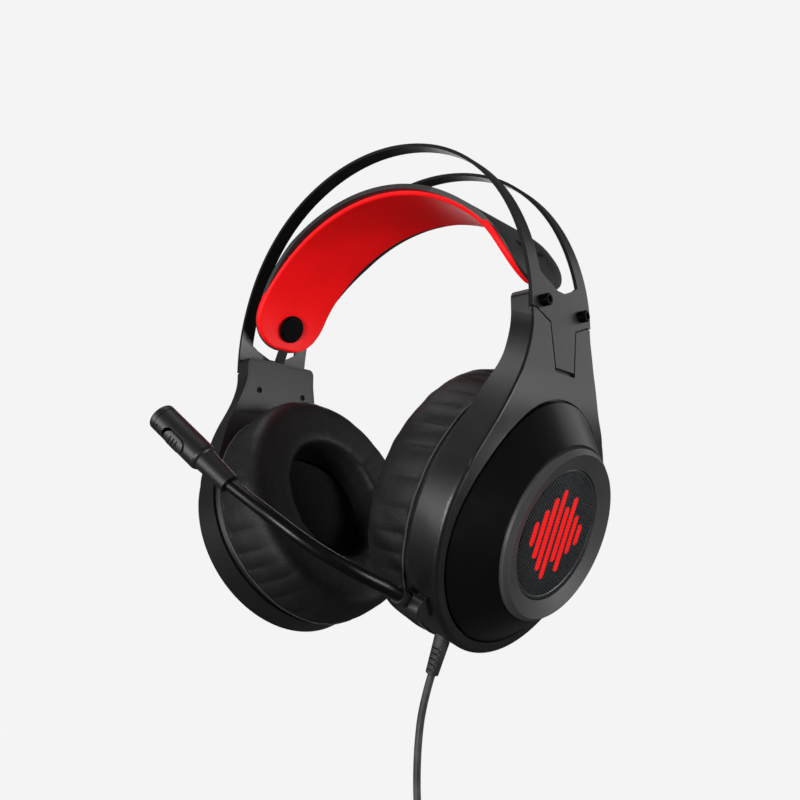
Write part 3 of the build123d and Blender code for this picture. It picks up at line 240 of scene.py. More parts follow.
def strap_centre():
    """Centre of the strap's left end arc, in XZ."""
    reach = STRAP_RADIUS - STRAP_END_RADIUS
    return (reach * math.sin(STRAP_TURN), STRAP_TOTAL - STRAP_RADIUS + reach * math.cos(STRAP_TURN))


def strap_point(angle, depth):
    """X and Z of the strap at an angle from the top, at a depth under its outer face: a wide arc
    over the head as far as the turn, and the tighter end arc after it."""
    lean = np.abs(angle)
    centre = strap_centre()
    ending = lean > STRAP_TURN
    radius = np.where(ending, STRAP_END_RADIUS, STRAP_RADIUS) - depth
    across = np.where(ending, centre[0], 0.0) + radius * np.sin(lean)
    height = np.where(ending, centre[1], STRAP_TOTAL - STRAP_RADIUS) + radius * np.cos(lean)
    return np.sign(angle) * across, height


# ---- finishes

def paint(colour):
    """A colour as linear red, green, blue and alpha, given as those or as a hex code."""
    if not isinstance(colour, str):
        return tuple(colour)
    parts = [int(colour[place:place + 2], 16) / 255 for place in (1, 3, 5)]
    return (*(part / 12.92 if part <= 0.04045 else ((part + 0.055) / 1.055) ** 2.4 for part in parts), 1.0)


def paler(colour, share, more=0.0):
    """A colour whose parts are multiplied by a share, with a little more added to each."""
    return (*(min(1.0, part * share + more) for part in paint(colour)[:3]), 1.0)


def by_maths(operation):
    """A way of working out a new field from a field, and from another or a number where it takes two."""
    return lambda self, other=0.0: self.finish.maths(operation, self, other)


class Field:
    """One output of a finish's nodes, so that patterns read as plain arithmetic."""

    def __init__(self, finish, socket):
        self.finish = finish
        self.socket = socket

    def __rsub__(self, other):
        return self.finish.maths("SUBTRACT", other, self)

    __add__ = __radd__ = by_maths("ADD")
    __sub__ = by_maths("SUBTRACT")
    __mul__ = by_maths("MULTIPLY")
    __abs__ = by_maths("ABSOLUTE")
    lower = by_maths("MINIMUM")
    higher = by_maths("MAXIMUM")
    sine = by_maths("SINE")
    root = by_maths("SQRT")

    def swing(self, width):
        """A pattern of 0 to 1 moved to lie round 0, with a width in all."""
        return (self - 0.5) * width

    def rise(self, low, high):
        """0 under low and 1 over high, with a smooth step between."""
        return self.finish.node("MapRange", {"interpolation_type": "SMOOTHSTEP"},
                                {"Value": self, "From Min": low, "From Max": high})


class Finish:
    """A material under construction, or a world."""

    def __init__(self, name, kind="materials"):
        self.owner = getattr(bpy.data, kind).new(name)
        self.owner.use_nodes = True
        self.tree = self.owner.node_tree
        self.tree.nodes.clear()

    def node(self, kind, settings=None, sockets=None, output=0):
        """A shader node of a kind: its settings are made first, then each socket gets its value, its
        colour's hex code or its link."""
        made = self.tree.nodes.new("ShaderNode" + kind)
        for key, value in (settings or {}).items():
            setattr(made, key, value)
        for key, value in (sockets or {}).items():
            if isinstance(value, Field):
                self.tree.links.new(value.socket, made.inputs[key])
            else:
                made.inputs[key].default_value = paint(value) if isinstance(value, str) else value
        return Field(self, made.outputs[output])

    def maths(self, operation, first, second=0.0):
        """A sum of one or two fields or numbers."""
        return self.node("Math", {"operation": operation}, {0: first, 1: second})

    def place(self, centre=(0, 0, 0), turn=(0, 0, 0), stretch=(1, 1, 1)):
        """Object coordinates as seen from a centre and a turn, each axis divided by its stretch."""
        spot = self.node("TexCoord", output="Object")
        return self.node("Mapping", {"vector_type": "TEXTURE"},
                         {"Vector": spot, "Location": centre, "Rotation": turn, "Scale": stretch})

    def split(self, vector):
        """The three parts of a vector."""
        parted = self.node("SeparateXYZ", None, {0: vector}).socket.node
        return [Field(self, socket) for socket in parted.outputs]

    def noise(self, scale, detail=2.0, roughness=0.5, vector=None, output=0):
        return self.node("TexNoise", None,
                         {"Vector": vector or self.place(), "Scale": scale, "Detail": detail,
                          "Roughness": roughness}, output)

    def cells(self, scale, vector=None):
        """Distance to the nearest of some scattered points."""
        return self.node("TexVoronoi", None, {"Vector": vector or self.place(), "Scale": scale},
                         "Distance")

    def mix(self, share, first, second):
        """A colour between two others."""
        return self.node("Mix", {"data_type": "RGBA"}, {0: share, 6: first, 7: second}, 2)

    def edges(self, radius):
        """1 on the model's rounded edges and 0 on its faces."""
        soft = self.node("Bevel", {"samples": 4}, {"Radius": radius})
        hard = self.node("NewGeometry", output="Normal")
        alike = self.node("VectorMath", {"operation": "DOT_PRODUCT"}, {0: soft, 1: hard}, "Value")
        return (1 - alike).rise(0.005, 0.12)

    def close(self, tone, gloss, height, depth, **sockets):
        """The surface shader, from its colour, its roughness and a relief of 0 to 1, where 1 stands
        out by a depth in millimetres. Any other sockets are named in lower case with underscores."""
        normal = self.node("Bump", None, {"Height": height, "Distance": depth * MM, "Strength": 1.0})
        named = {key.replace("_", " ").title().replace("Ior", "IOR"): value for key, value in sockets.items()}
        named.update({"Base Color": tone, "Roughness": gloss, "Normal": normal})
        return self.surface(self.node("BsdfPrincipled", None, named, "BSDF"))

    def surface(self, shader, kind="OutputMaterial"):
        """The finished material or world, with the shader on its surface."""
        out = self.tree.nodes.new("ShaderNode" + kind)
        self.tree.links.new(shader.socket, out.inputs["Surface"])
        return self.owner


def moulded(name, dark, light, roughness, grain=3200, depth=0.012, specular=0.35, wear=0.25):
    """Moulded plastic: a fine spark-eroded grain, faint cloudy flow, handling smears that change
    only the gloss, sparse hairline scratches and slightly polished, paler edges."""
    finish = Finish(name)
    fine = finish.noise(grain, 3.0, 0.6)
    cloud = finish.noise(28, 4.0, 0.55)
    smear = finish.noise(75, 3.0, 0.7)
    scratch = finish.noise(210, 1.0, 0.4, finish.place(turn=(0.3, 0.6, 0.9), stretch=(14, 1, 1)))
    hair = (1 - abs(scratch - 0.5) * 90).higher(0.0) * finish.noise(40, 1.0).rise(0.55, 0.7)
    edge = finish.edges(0.0007)
    tone = finish.mix(cloud.rise(0.3, 0.7) * 0.7 + fine * 0.3, dark, light)
    tone = finish.mix(edge * wear, tone, paler(light, 2.6, 0.012))
    gloss = roughness + smear.swing(0.12) + fine.swing(0.08) - edge * 0.06 + hair * 0.1
    height = fine * 0.8 + smear * 0.4 - hair * 0.35
    return finish.close(tone, gloss, height, depth, specular_ior_level=specular)


def coated_steel(name, dark, light, roughness):
    """Sprung steel under black enamel: fine orange peel, faint drawing lines along the strip and a
    little rubbing along the edges. The cut edges, which face forward and back, are painted matt and near
    black as painted shade."""
    finish = Finish(name)
    peel = finish.noise(900, 2.0, 0.5)
    drawn = finish.noise(420, 2.0, 0.6, finish.place(stretch=(18, 1, 18)))
    cloud = finish.noise(32, 3.0, 0.5)
    # painted shade: faces that point forward and back, the strip's cut edges, go near black, matt, uncoated
    # and unrubbed
    cut = abs(finish.split(finish.node("NewGeometry", output="Normal"))[1]).rise(0.5, 0.8)
    rub = finish.edges(0.0003) * finish.noise(160, 2.0).rise(0.45, 0.8) * (1 - cut)
    tone = finish.mix(cloud.rise(0.3, 0.7), dark, light)
    tone = finish.mix(rub * 0.15, tone, "#5c5c5e")
    # painted shade: near black over the forward- and back-facing cut edges
    tone = finish.mix(cut * 0.9, tone, "#010101")
    gloss = roughness + cloud.swing(0.1) + drawn.swing(0.06) + cut * 0.45
    return finish.close(tone, gloss, peel * 0.7 + drawn * 0.3, 0.008, metallic=rub * 0.3,
                        specular_ior_level=0.32, coat_weight=(1 - cut) * 0.08, coat_roughness=0.2)


def machined(name, colour, roughness):
    """Turned metal: fine tool lines, a little darkening in patches and brighter edges."""
    finish = Finish(name)
    turned = finish.noise(1500, 2.0, 0.6, finish.place(stretch=(1, 1, 8)))
    stain = finish.noise(190, 3.0, 0.6)
    edge = finish.edges(0.0003)
    tone = finish.mix(stain.rise(0.45, 0.8) * 0.5, colour, paler(colour, 0.45))
    tone = finish.mix(edge * 0.35, tone, paler(colour, 1.6, 0.02))
    gloss = roughness + turned.swing(0.14) + stain.swing(0.12)
    return finish.close(tone, gloss, turned, 0.006, metallic=1.0)


def rubber(name, dark, light, roughness, depth=0.03, specular=0.35):
    """Soft moulded rubber: a matt skin with tiny pits, a paler bloom in patches and dull edges."""
    finish = Finish(name)
    pits = finish.cells(2600)
    bloom = finish.noise(120, 4.0, 0.6)
    fine = finish.noise(1400, 2.0, 0.5)
    tone = finish.mix(bloom.rise(0.35, 0.75), dark, light)
    gloss = roughness + bloom.swing(0.14) + fine.swing(0.08)
    return finish.close(tone, gloss, pits * 0.6 + fine * 0.4, depth, specular_ior_level=specular)


def leatherette(name, dark, light, roughness, pebble=1250, depth=0.05, crease=0.6, specular=0.35):
    """Coated cloth: pebbled grain of two sizes, fine stretch creases, and a tone that is darker in
    the grain's valleys."""
    finish = Finish(name)
    bend = finish.noise(300, 2.0, 0.5, output="Color")
    spot = finish.node("VectorMath", {"operation": "MULTIPLY_ADD"},
                       {0: bend, 1: (0.0006, 0.0006, 0.0006), 2: finish.place()})
    big = finish.cells(pebble, spot)
    small = finish.cells(pebble * 2.3, spot)
    pulled = finish.noise(260, 3.0, 0.6, finish.place(turn=(0.4, 0.2, 0.7), stretch=(1, 2.5, 1)))
    creases = (1 - abs(pulled - 0.5) * 9).higher(0.0) * finish.noise(70, 2.0).rise(0.4, 0.7)
    cloud = finish.noise(45, 3.0, 0.5)
    grain = (1 - big * 1.3).higher(0.0) * 0.65 + (1 - small * 1.3).higher(0.0) * 0.35
    tone = finish.mix(grain.rise(0.15, 0.75) * 0.6 + cloud.rise(0.3, 0.7) * 0.4, dark, light)
    gloss = roughness + cloud.swing(0.14) - grain.swing(0.12)
    return finish.close(tone, gloss, grain - creases * crease, depth, specular_ior_level=specular)


def knit(name, dark, light):
    """Open knitted cloth: two crossed sets of threads with a round hole at every second crossing."""
    finish = Finish(name)
    rear, up, _ = finish.split(finish.place((CUP_X, 0, CUP_Z), cup_turn(1)))
    thread = 2 * math.pi / (0.55 * MM)
    warp = (rear * thread).sine()
    weft = (up * thread).sine()
    over = warp * weft
    open_step = 2 * math.pi / (3.6 * MM)
    holes = ((rear * open_step).sine() * (up * open_step).sine()).rise(0.6, 0.8)
    fuzz = finish.noise(2400, 3.0, 0.7)
    cloud = finish.noise(60, 2.0)
    tone = finish.mix(over.rise(-0.8, 0.8) * 0.6 + fuzz * 0.4, dark, light)
    tone = finish.mix(holes * 0.95, tone, "#000000")
    return finish.close(tone, 0.85 + cloud.swing(0.1), over * 0.4 + fuzz * 0.3 - holes * 0.8, 0.12,
                        specular_ior_level=0.1, sheen_weight=0.05, sheen_roughness=0.6)


def webbing(name, dark, light, cord=0.62, pick=0.5):
    """Woven elastic: raised cords along the band and finer picks across them, from the band's own
    map, which is in millimetres, with loose fibre tone."""
    finish = Finish(name)
    across, along, _ = finish.split(finish.node("UVMap", {"uv_map": "along"}))
    cords = (across * (2 * math.pi / cord)).sine()
    picks = (along * (2 * math.pi / pick) + cords * 1.2).sine()
    fuzz = finish.noise(3000, 3.0, 0.7)
    cloud = finish.noise(150, 2.0)
    weave = cords * 0.6 + picks * 0.4
    tone = finish.mix(weave.rise(-0.7, 0.9) * 0.7 + fuzz * 0.3, dark, light)
    return finish.close(tone, 0.78 + cloud.swing(0.2), weave * 0.5 + fuzz * 0.25, 0.1,
                        specular_ior_level=0.25, sheen_weight=0.1, sheen_roughness=0.5)


def cup_turn(side):
    """Rotation of a cup's own frame. The right cup's X points forward, so that it is a turn and not
    a mirror image."""
    sine, cosine = math.sin(CUP_TILT), math.cos(CUP_TILT)
    rear = Vector((0, side, 0))
    up = Vector((side * sine, 0, cosine))
    out = rear.cross(up)
    return Matrix((rear, up, out)).transposed().to_euler()


def sound_bars(finish, side):
    """Mask of a row of round-ended bars on the lit disc, and the distance to the nearest bar's middle
    line that it comes from."""
    rear, up, _ = finish.split(finish.place((side * CUP_X, 0, CUP_Z), cup_turn(side)))
    nearest = None
    halves, pitch = (3.0, 7.5, 12.0, 15.2, 9.0, 12.8, 6.0, 2.6), 4.3 * MM
    for index, half in enumerate(halves):
        sideways = rear - (index - (len(halves) - 1) / 2) * pitch
        beyond = (abs(up) - half * MM).higher(0.0)
        reach = (sideways * sideways + beyond * beyond).root()
        nearest = reach if nearest is None else nearest.lower(reach)
    return 1 - nearest.rise(1.3 * MM, 1.55 * MM), nearest


def lit_guide(name, side, glow):
    """Light guide behind the grille: dark film, with the bars cut out of it so that they glow, a
    little brighter in the middle of each bar."""
    finish = Finish(name)
    bars, nearest = sound_bars(finish, side)
    haze = finish.noise(300, 2.0)
    core = 1 - nearest.rise(0.3 * MM, 1.4 * MM) * 0.25
    tone = finish.mix(bars, "#0a0a0b", glow)
    shine = finish.mix(bars * core * (haze * 0.2 + 0.85), (0, 0, 0, 1), glow)
    return finish.close(tone, 0.45 + haze * 0.15, haze, 0.01, emission_color=shine, emission_strength=3.6)


def punched_sheet(name, side, glow):
    """Enamelled sheet of the grille: fine peel and wear on the rims of its holes. Over the bars the
    metal carries painted glow, a dark red tint and a faint light of its own that stand for the bars' light
    spilling over the metal between the holes."""
    finish = Finish(name)
    bars, _ = sound_bars(finish, side)
    peel = finish.noise(1800, 2.0)
    cloud = finish.noise(60, 3.0)
    edge = finish.edges(0.0001)
    tone = finish.mix(cloud, "#2e3031", "#3e4143")
    tone = finish.mix(edge * 0.3, tone, "#55575a")
    # painted glow: over the bars the sheet is tinted dark red, standing for the bars' light falling on the
    # metal
    tone = finish.mix(bars * 0.9, tone, "#160304")
    painted_glow = finish.mix(bars * (peel * 0.3 + 0.8), (0, 0, 0, 1), glow)
    # painted glow: the metal emits the bars' colour faintly and is less metallic over the bars
    return finish.close(tone, 0.38 + cloud.swing(0.1), peel, 0.006, specular_ior_level=0.5,
                        metallic=(1 - bars) * 0.5, emission_color=painted_glow, emission_strength=0.85)


def circuit(name):
    """Circuit board: solder mask over a pattern of tracks, with a glassy weave under it."""
    finish = Finish(name)
    tracks = finish.node("TexBrick", None, {
        "Vector": finish.place(turn=(0.2, 0.1, 0.785)), "Scale": 220.0, "Mortar Size": 0.06,
        "Color1": (0, 0, 0, 1), "Color2": (0.3, 0.3, 0.3, 1), "Mortar": (1, 1, 1, 1)}, "Fac")
    weave = finish.noise(1600, 1.0)
    tone = finish.mix(tracks, "#0b1a12", "#1d3a26")
    tone = finish.mix(weave * 0.25, tone, "#28412f")
    return finish.close(tone, 0.42 + weave * 0.1, tracks * 0.6 + weave * 0.4, 0.02, coat_weight=0.4,
                        coat_roughness=0.2)


def dress(node, material):
    """Give a piece of the model its finish."""
    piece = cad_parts[node]
    if piece.material_slots:
        for slot in piece.material_slots:
            slot.material = material
    else:
        piece.data.materials.append(material)


# ---- properties

def colour_choice(name, description, code):
    """A colour that a user would change."""
    return bpy.props.FloatVectorProperty(name=name, description=description, default=paint(code),
                                         size=4, min=0, max=1, subtype="COLOR")


class HeadsetColours(bpy.types.PropertyGroup):
    """Colours that a user would change."""

    lining: colour_choice("Strap lining", "Colour of the comfort strap's soft lining", "#ff1216")
    glow: colour_choice("Disc light", "Colour of the light behind the two grilles", "#ff0c0e")
    shell: colour_choice("Shell", "Lighter tone of the moulded black plastic", "#141415")
    leather: colour_choice("Cushions", "Lighter tone of the ear cushions' coated cloth", "#1b1b1c")


class HeadsetSizes(bpy.types.PropertyGroup):
    """Sizes that a user would change."""

    pleat_depth: bpy.props.FloatProperty(
        name="Pleat depth", description="Height of the gathers on the cushions' outer walls",
        default=1.0 * MM, min=0.0, max=2.0 * MM, unit="LENGTH")
    pleats: bpy.props.IntProperty(
        name="Pleats", description="Number of gathers round each cushion", default=34, min=8, max=60)
    hole_pitch: bpy.props.FloatProperty(
        name="Hole pitch", description="Distance between the holes of the grilles",
        default=1.15 * MM, min=0.9 * MM, max=3.0 * MM, unit="LENGTH")
    hole_share: bpy.props.FloatProperty(
        name="Hole share", description="Width of each hole as a share of the pitch",
        default=0.68, min=0.3, max=0.85, subtype="FACTOR")


# ---- stage

class HEADSET_OT_stage(bpy.types.Operator):
    """Make the camera, the pale floor, the backdrop and the soft lamps"""

    bl_idname = "headset.stage"
    bl_label = "Camera and Stage"

    def execute(self, context):
        scene = context.scene
        scene.view_settings.view_transform = "Standard"
        self.camera(scene)
        self.world(scene)
        self.floor()
        for lamp in LAMPS:
            self.lamp(scene, *lamp)
        return {"FINISHED"}

    def camera(self, scene):
        """The camera: it looks to the left of +Y by the yaw and up by the pitch, turned by the roll."""
        level = math.cos(CAMERA_PITCH)
        look = Vector((-math.sin(CAMERA_YAW) * level, math.cos(CAMERA_YAW) * level, math.sin(CAMERA_PITCH)))
        right = Vector((math.cos(CAMERA_YAW), math.sin(CAMERA_YAW), 0.0))
        turned = Matrix((right, right.cross(look), -look)).transposed().to_4x4()
        turned = turned @ Matrix.Rotation(CAMERA_ROLL, 4, "Z")
        lens = bpy.data.cameras.new("camera")
        lens.lens = CAMERA_LENS
        lens.sensor_width = CAMERA_SENSOR
        camera = bpy.data.objects.new("camera", lens)
        camera.matrix_world = Matrix.Translation(CAMERA_PLACE) @ turned
        scene.collection.objects.link(camera)
        scene.camera = camera

    def world(self, scene):
        """The backdrop: a pale grey to the camera, and a dimmer room to everything else."""
        room = Finish("room", "worlds")
        seen = room.node("Background", None, {"Color": "#f4f4f4"})
        dim = room.node("Background", None, {"Color": (1.0, 1.0, 1.0, 1.0), "Strength": 0.1})
        path = room.node("LightPath", output="Is Camera Ray")
        both = room.node("MixShader", None, {0: path, 1: dim, 2: seen})
        scene.world = room.surface(both, "OutputWorld")

    def floor(self):
        """A wide round floor under the plug. The camera sees the backdrop's grey in it, less a part
        of the object's shadow near the middle."""
        radius = np.array([0.02, 0.3, 0.8, 2.0, 5.0])[:, None]
        turn = round_angles(96)
        points = join(radius * np.cos(turn), radius * np.sin(turn), FLOOR_LEVEL)
        faces = grid_quads(*points.shape[:2], wrap_columns=True).tolist() + [list(range(len(turn)))]
        finish = Finish("pale_floor")
        away = finish.node("VectorMath", {"operation": "LENGTH"}, {0: finish.place()}, "Value")
        tone = finish.mix(finish.noise(6, 3.0), "#f0f0f0", "#f4f4f4")
        path = finish.node("LightPath", output="Is Camera Ray")
        tone = finish.mix(path, "#525252", tone)
        cloth = finish.node("BsdfDiffuse", None, {"Color": tone})
        grey = finish.node("Emission", None, {"Color": "#f4f4f4", "Strength": 1.0})
        share = path * (away.rise(0.25, 0.6) * 0.12 + 0.88)
        material = finish.surface(finish.node("MixShader", None, {0: share, 1: cloth, 2: grey}))
        floor = mesh_piece("floor", points.reshape(-1, 3), faces, material)

    def lamp(self, scene, name, place, size, power):
        """A round soft lamp that looks at the middle of the object, and that the camera can't see."""
        light = bpy.data.lights.new(name, "AREA")
        light.shape = "DISK"
        light.size = size
        light.energy = power
        lamp = bpy.data.objects.new(name, light)
        lamp.location = place
        lamp.rotation_euler = (Vector(STAGE_MIDDLE) - Vector(place)).to_track_quat("-Z", "Y").to_euler()
        lamp.visible_camera = False
        scene.collection.objects.link(lamp)


# ---- cable

def hank_points():
    """The cable wound into a hank, in the hank's own frame: X across, Y through its depth, Z down.
    Each turn runs down one side, folds round, and runs up the other; at the folds the turns lie
    side by side, and under the tie they close up four by four, each pair turning a quarter round
    its own middle on the way so that its two cords stay one diameter apart."""
    step = 2.02 * CABLE_RADIUS
    fold = 9.3 * MM
    waist = 3.5 * MM
    middle = HANK_LONG / 2
    top = fold + CABLE_RADIUS
    pairs = 4
    last = 2 * pairs - 1
    points = []

    def run(turn, side, heights):
        """Points down or up one side of a turn."""
        pair, inner = divmod(turn, 2)
        for height in heights:
            spread = min(1.0, max(0.0, (abs(height - middle) - waist) / (middle - top - waist)))
            spread = spread * spread * (3 - 2 * spread)
            swing = spread * math.pi / 2
            centre_x = step + (fold - step) * spread
            centre_y = step * ((pair - (pairs - 1) / 2) * (1 + spread))
            away = step / 2 * (1 if inner else -1)
            points.append((side * (centre_x + away * math.cos(swing)), centre_y + away * math.sin(swing),
                           height))

    def bend(turn, low):
        """Points round a fold: from left to right at the foot, or right to left at the top."""
        depth = step * (turn - last / 2)
        first = 15
        reach = fold / math.cos(math.radians(first))
        for angle in range(first, 180, 30):
            part = math.radians(angle)
            if low:
                points.append((-reach * math.cos(part), depth, HANK_LONG - top + reach * math.sin(part)))
            else:
                shift = step * angle / 180
                points.append((reach * math.cos(part), depth + shift, top - reach * math.sin(part)))

    near, far, waisted = 4 * MM, 12 * MM, 8 * MM
    down = [top + near, top + far, middle - waisted, middle, middle + waisted, HANK_LONG - top - far,
            HANK_LONG - top - near]
    for turn in range(last):
        run(turn, -1, down)
        bend(turn, True)
        run(turn, 1, reversed(down))
        bend(turn, False)
    run(last, -1, down[:-1])
    # the free end leaves the last turn at the back and goes on down to the plug
    points.append((-5.2 * MM, step * last / 2 + 0.5 * MM, HANK_LONG - 8 * MM))
    points.append((-1.6 * MM, 10.6 * MM, HANK_LONG - 3 * MM))
    points.append((-1.0 * MM, 10.6 * MM, HANK_LONG + 1.5 * MM))
    return points


def hank_frame():
    """Placement of the hank: its Z goes on along the cable's last run and its X is the model's."""
    end, before = Vector(CABLE_ROUTE[-1]), Vector(CABLE_ROUTE[-2])
    down = (end - before).normalized()
    across = Vector((1, 0, 0)) - down * down.x
    across.normalize()
    frame_axes = Matrix((across, down.cross(across), down)).transposed().to_4x4()
    entry = Matrix.Translation((-HANK_ENTRY[0], -HANK_ENTRY[1], 0))
    return Matrix.Translation(end) @ frame_axes @ entry


class HEADSET_OT_cable(bpy.types.Operator):
    """Make the cable with its hank and its tie"""

    bl_idname = "headset.cable"
    bl_label = "Cable"

    def execute(self, context):
        place = hank_frame()
        route = [Vector(point) for point in CABLE_ROUTE]
        route += [place @ Vector(point) for point in hank_points()]
        curve = bpy.data.curves.new("cable_cord", "CURVE")
        curve.dimensions = "3D"
        curve.bevel_depth = CABLE_RADIUS
        curve.bevel_resolution = 4
        curve.resolution_u = 6
        curve.use_fill_caps = True
        spline = curve.splines.new("NURBS")
        spline.points.add(len(route) - 1)
        spline.points.foreach_set("co", [value for point in route for value in (*point, 1.0)])
        spline.order_u = 3
        spline.use_endpoint_u = True
        cable = bpy.data.objects.new("cable_cord", curve)
        context.scene.collection.objects.link(cable)
        curve.materials.append(rubber("cable_rubber", "#2c2c2e", "#454547", 0.44, 0.02))
        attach(cable, "frame")
        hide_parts("cable", "cable_hank")
        tie, length = self.tie(place), self.length(cable)
        return {"FINISHED"}

    def length(self, cable):
        """Length of the cord's own line, read from the curve without its thickness."""
        bare = cable.data.copy()
        bare.bevel_depth = 0.0
        line = bpy.data.objects.new("line", bare)
        bpy.context.scene.collection.objects.link(line)
        mesh = bpy.data.meshes.new_from_object(line.evaluated_get(bpy.context.evaluated_depsgraph_get()))
        points = np.empty(len(mesh.vertices) * 3)
        mesh.vertices.foreach_get("co", points)
        points = points.reshape(-1, 3)
        total = float(np.linalg.norm(np.diff(points, axis=0), axis=1).sum())
        bpy.data.objects.remove(line)
        bpy.data.curves.remove(bare)
        bpy.data.meshes.remove(mesh)
        return round(total, 3)

    def tie(self, place):
        """Hook-and-loop tie round the waist: a squarish loop of webbing whose free end laps over it.
        Its radius at an angle is one over the sixth root of the sum of the sixth powers of the cosine
        and the sine, and it goes round a little more than once while it spirals out by its own
        thickness."""
        half, thick, tall, power = 6.0 * MM, 0.85 * MM, 6.6 * MM, 6.0
        start, end = -0.35, 2 * math.pi + 0.75
        turn = np.linspace(start, end, 160)
        lap = np.clip((turn - start) / (2 * math.pi), 0, 1) * thick * 1.02
        reach = (np.abs(np.cos(turn)) ** power + np.abs(np.sin(turn)) ** power) ** (-1 / power)
        outward = join(np.cos(turn), np.sin(turn))[:, None]
        wide, deep = bar_outline(24, tall / 2, thick / 2, 0.25)
        flat = outward * ((reach * (half + thick / 2) + lap)[:, None] + deep)[..., None]
        world = np.asarray(place, float)
        rings = join(flat[..., 0], flat[..., 1], HANK_LONG / 2 + wide) @ world[:3, :3].T + world[:3, 3]
        finish = webbing("tie_webbing", "#0b0b0c", "#202022", 0.8, 0.8)
        tie = loft("cable_tie_loop", rings, finish, join(wide / MM, (turn * half / MM)[:, None]))
        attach(tie, "frame")
        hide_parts("cable_tie")
        return tie


# ---- soft goods

def gathers(angle, count, seed):
    """Height of the gathers round a cushion, from 0 in the valleys to 1 on the bulges: the size of
    a sine, so that the valleys are sharp and the bulges round, whose spacing and depth wander by a
    few slow waves drawn from the seed."""
    draw = np.random.default_rng(seed)
    wander = waves(draw, 0.2, 0.55, angle, (2, 3, 5, 7))
    depth = 0.78 + sum(0.11 * np.sin(wave * angle + draw.uniform(0, 6.28)) for wave in (3, 8))
    return depth * np.abs(np.sin(count * angle / 2 + wander)) ** 0.75


def cushion_points(count, depth, seed):
    """An ear cushion in the cup's frame as rings of points. A closed profile of radius and level
    goes round the axis: a flat back, a skirt drawn over the housing to the seam, a full outer wall,
    a flat front and a tight roll into the hole. The gathers lift the outer wall along its own
    normal, each one dying out at its own distance from the seam."""
    profile = smooth_line([
        # radius, outward level, share of the gathers, share of the small creases
        (26.4, -7.4, 0.0, 0.0), (36.0, -7.35, 0.0, 0.0), (45.2, -7.35, 0.0, 0.0), (46.9, -6.7, 0.0, 0.0),
        (47.05, -5.0, 0.0, 0.0), (47.1, -3.8, 0.0, 0.0), (47.9, -3.25, 0.0, 0.0), (49.0, -3.35, 0.0, 0.0),
        (49.6, -4.3, 0.2, 0.0), (49.6, -5.8, 0.9, 0.0), (49.8, -8.2, 1.0, 0.1), (49.9, -11.2, 1.0, 0.2),
        (49.8, -14.4, 0.9, 0.4), (49.6, -17.6, 0.75, 0.6), (49.1, -20.6, 0.5, 0.8), (48.1, -23.2, 0.25, 0.8),
        (46.2, -25.2, 0.06, 0.8), (43.2, -26.3, 0.0, 0.5), (39.4, -26.6, 0.0, 0.3), (34.8, -26.6, 0.0, 0.4),
        (31.0, -26.5, 0.0, 0.6), (28.6, -25.9, 0.0, 0.9), (27.1, -24.5, 0.0, 1.0), (26.4, -22.0, 0.0, 0.7),
        (26.1, -17.0, 0.0, 0.4), (26.0, -12.0, 0.0, 0.2),
    ], 128, closed=True)
    radius, level, gathered, creased = profile.T
    along = np.roll(profile[:, :2], -1, axis=0) - np.roll(profile[:, :2], 1, axis=0)
    normal = join(-along[:, 1], along[:, 0])
    normal /= np.linalg.norm(normal, axis=1, keepdims=True)
    core = (38.0, -17.0)
    outward = normal * np.sign(np.sum(normal * (profile[:, :2] - core), axis=1))[:, None]
    angle = round_angles(480)[:, None]
    draw = np.random.default_rng(seed + 7)
    seam, mean_length, fade = 4.3, 12, 1.8
    slant, resting, crease = 0.004, 0.45, 0.11 * MM
    length = mean_length + waves(draw, 1.0, 2.4, angle, (5, 11, 19, 27))
    dying = 1 / (1 + np.exp((-level - seam - length) / fade))
    fold = (gathers(angle + slant * (level + 8), count, seed) - resting) * (0.25 + 0.75 * dying)
    small = waves(draw, 0.3, 1.0, angle, (17, 26, 41, 9), [level * tilt for tilt in (0.25, -0.3, 0.15, 0.1)])
    lift = depth * gathered * fold + crease * creased * small
    return round_axis(radius * MM + outward[:, 0] * lift, angle, level * MM + outward[:, 1] * lift)


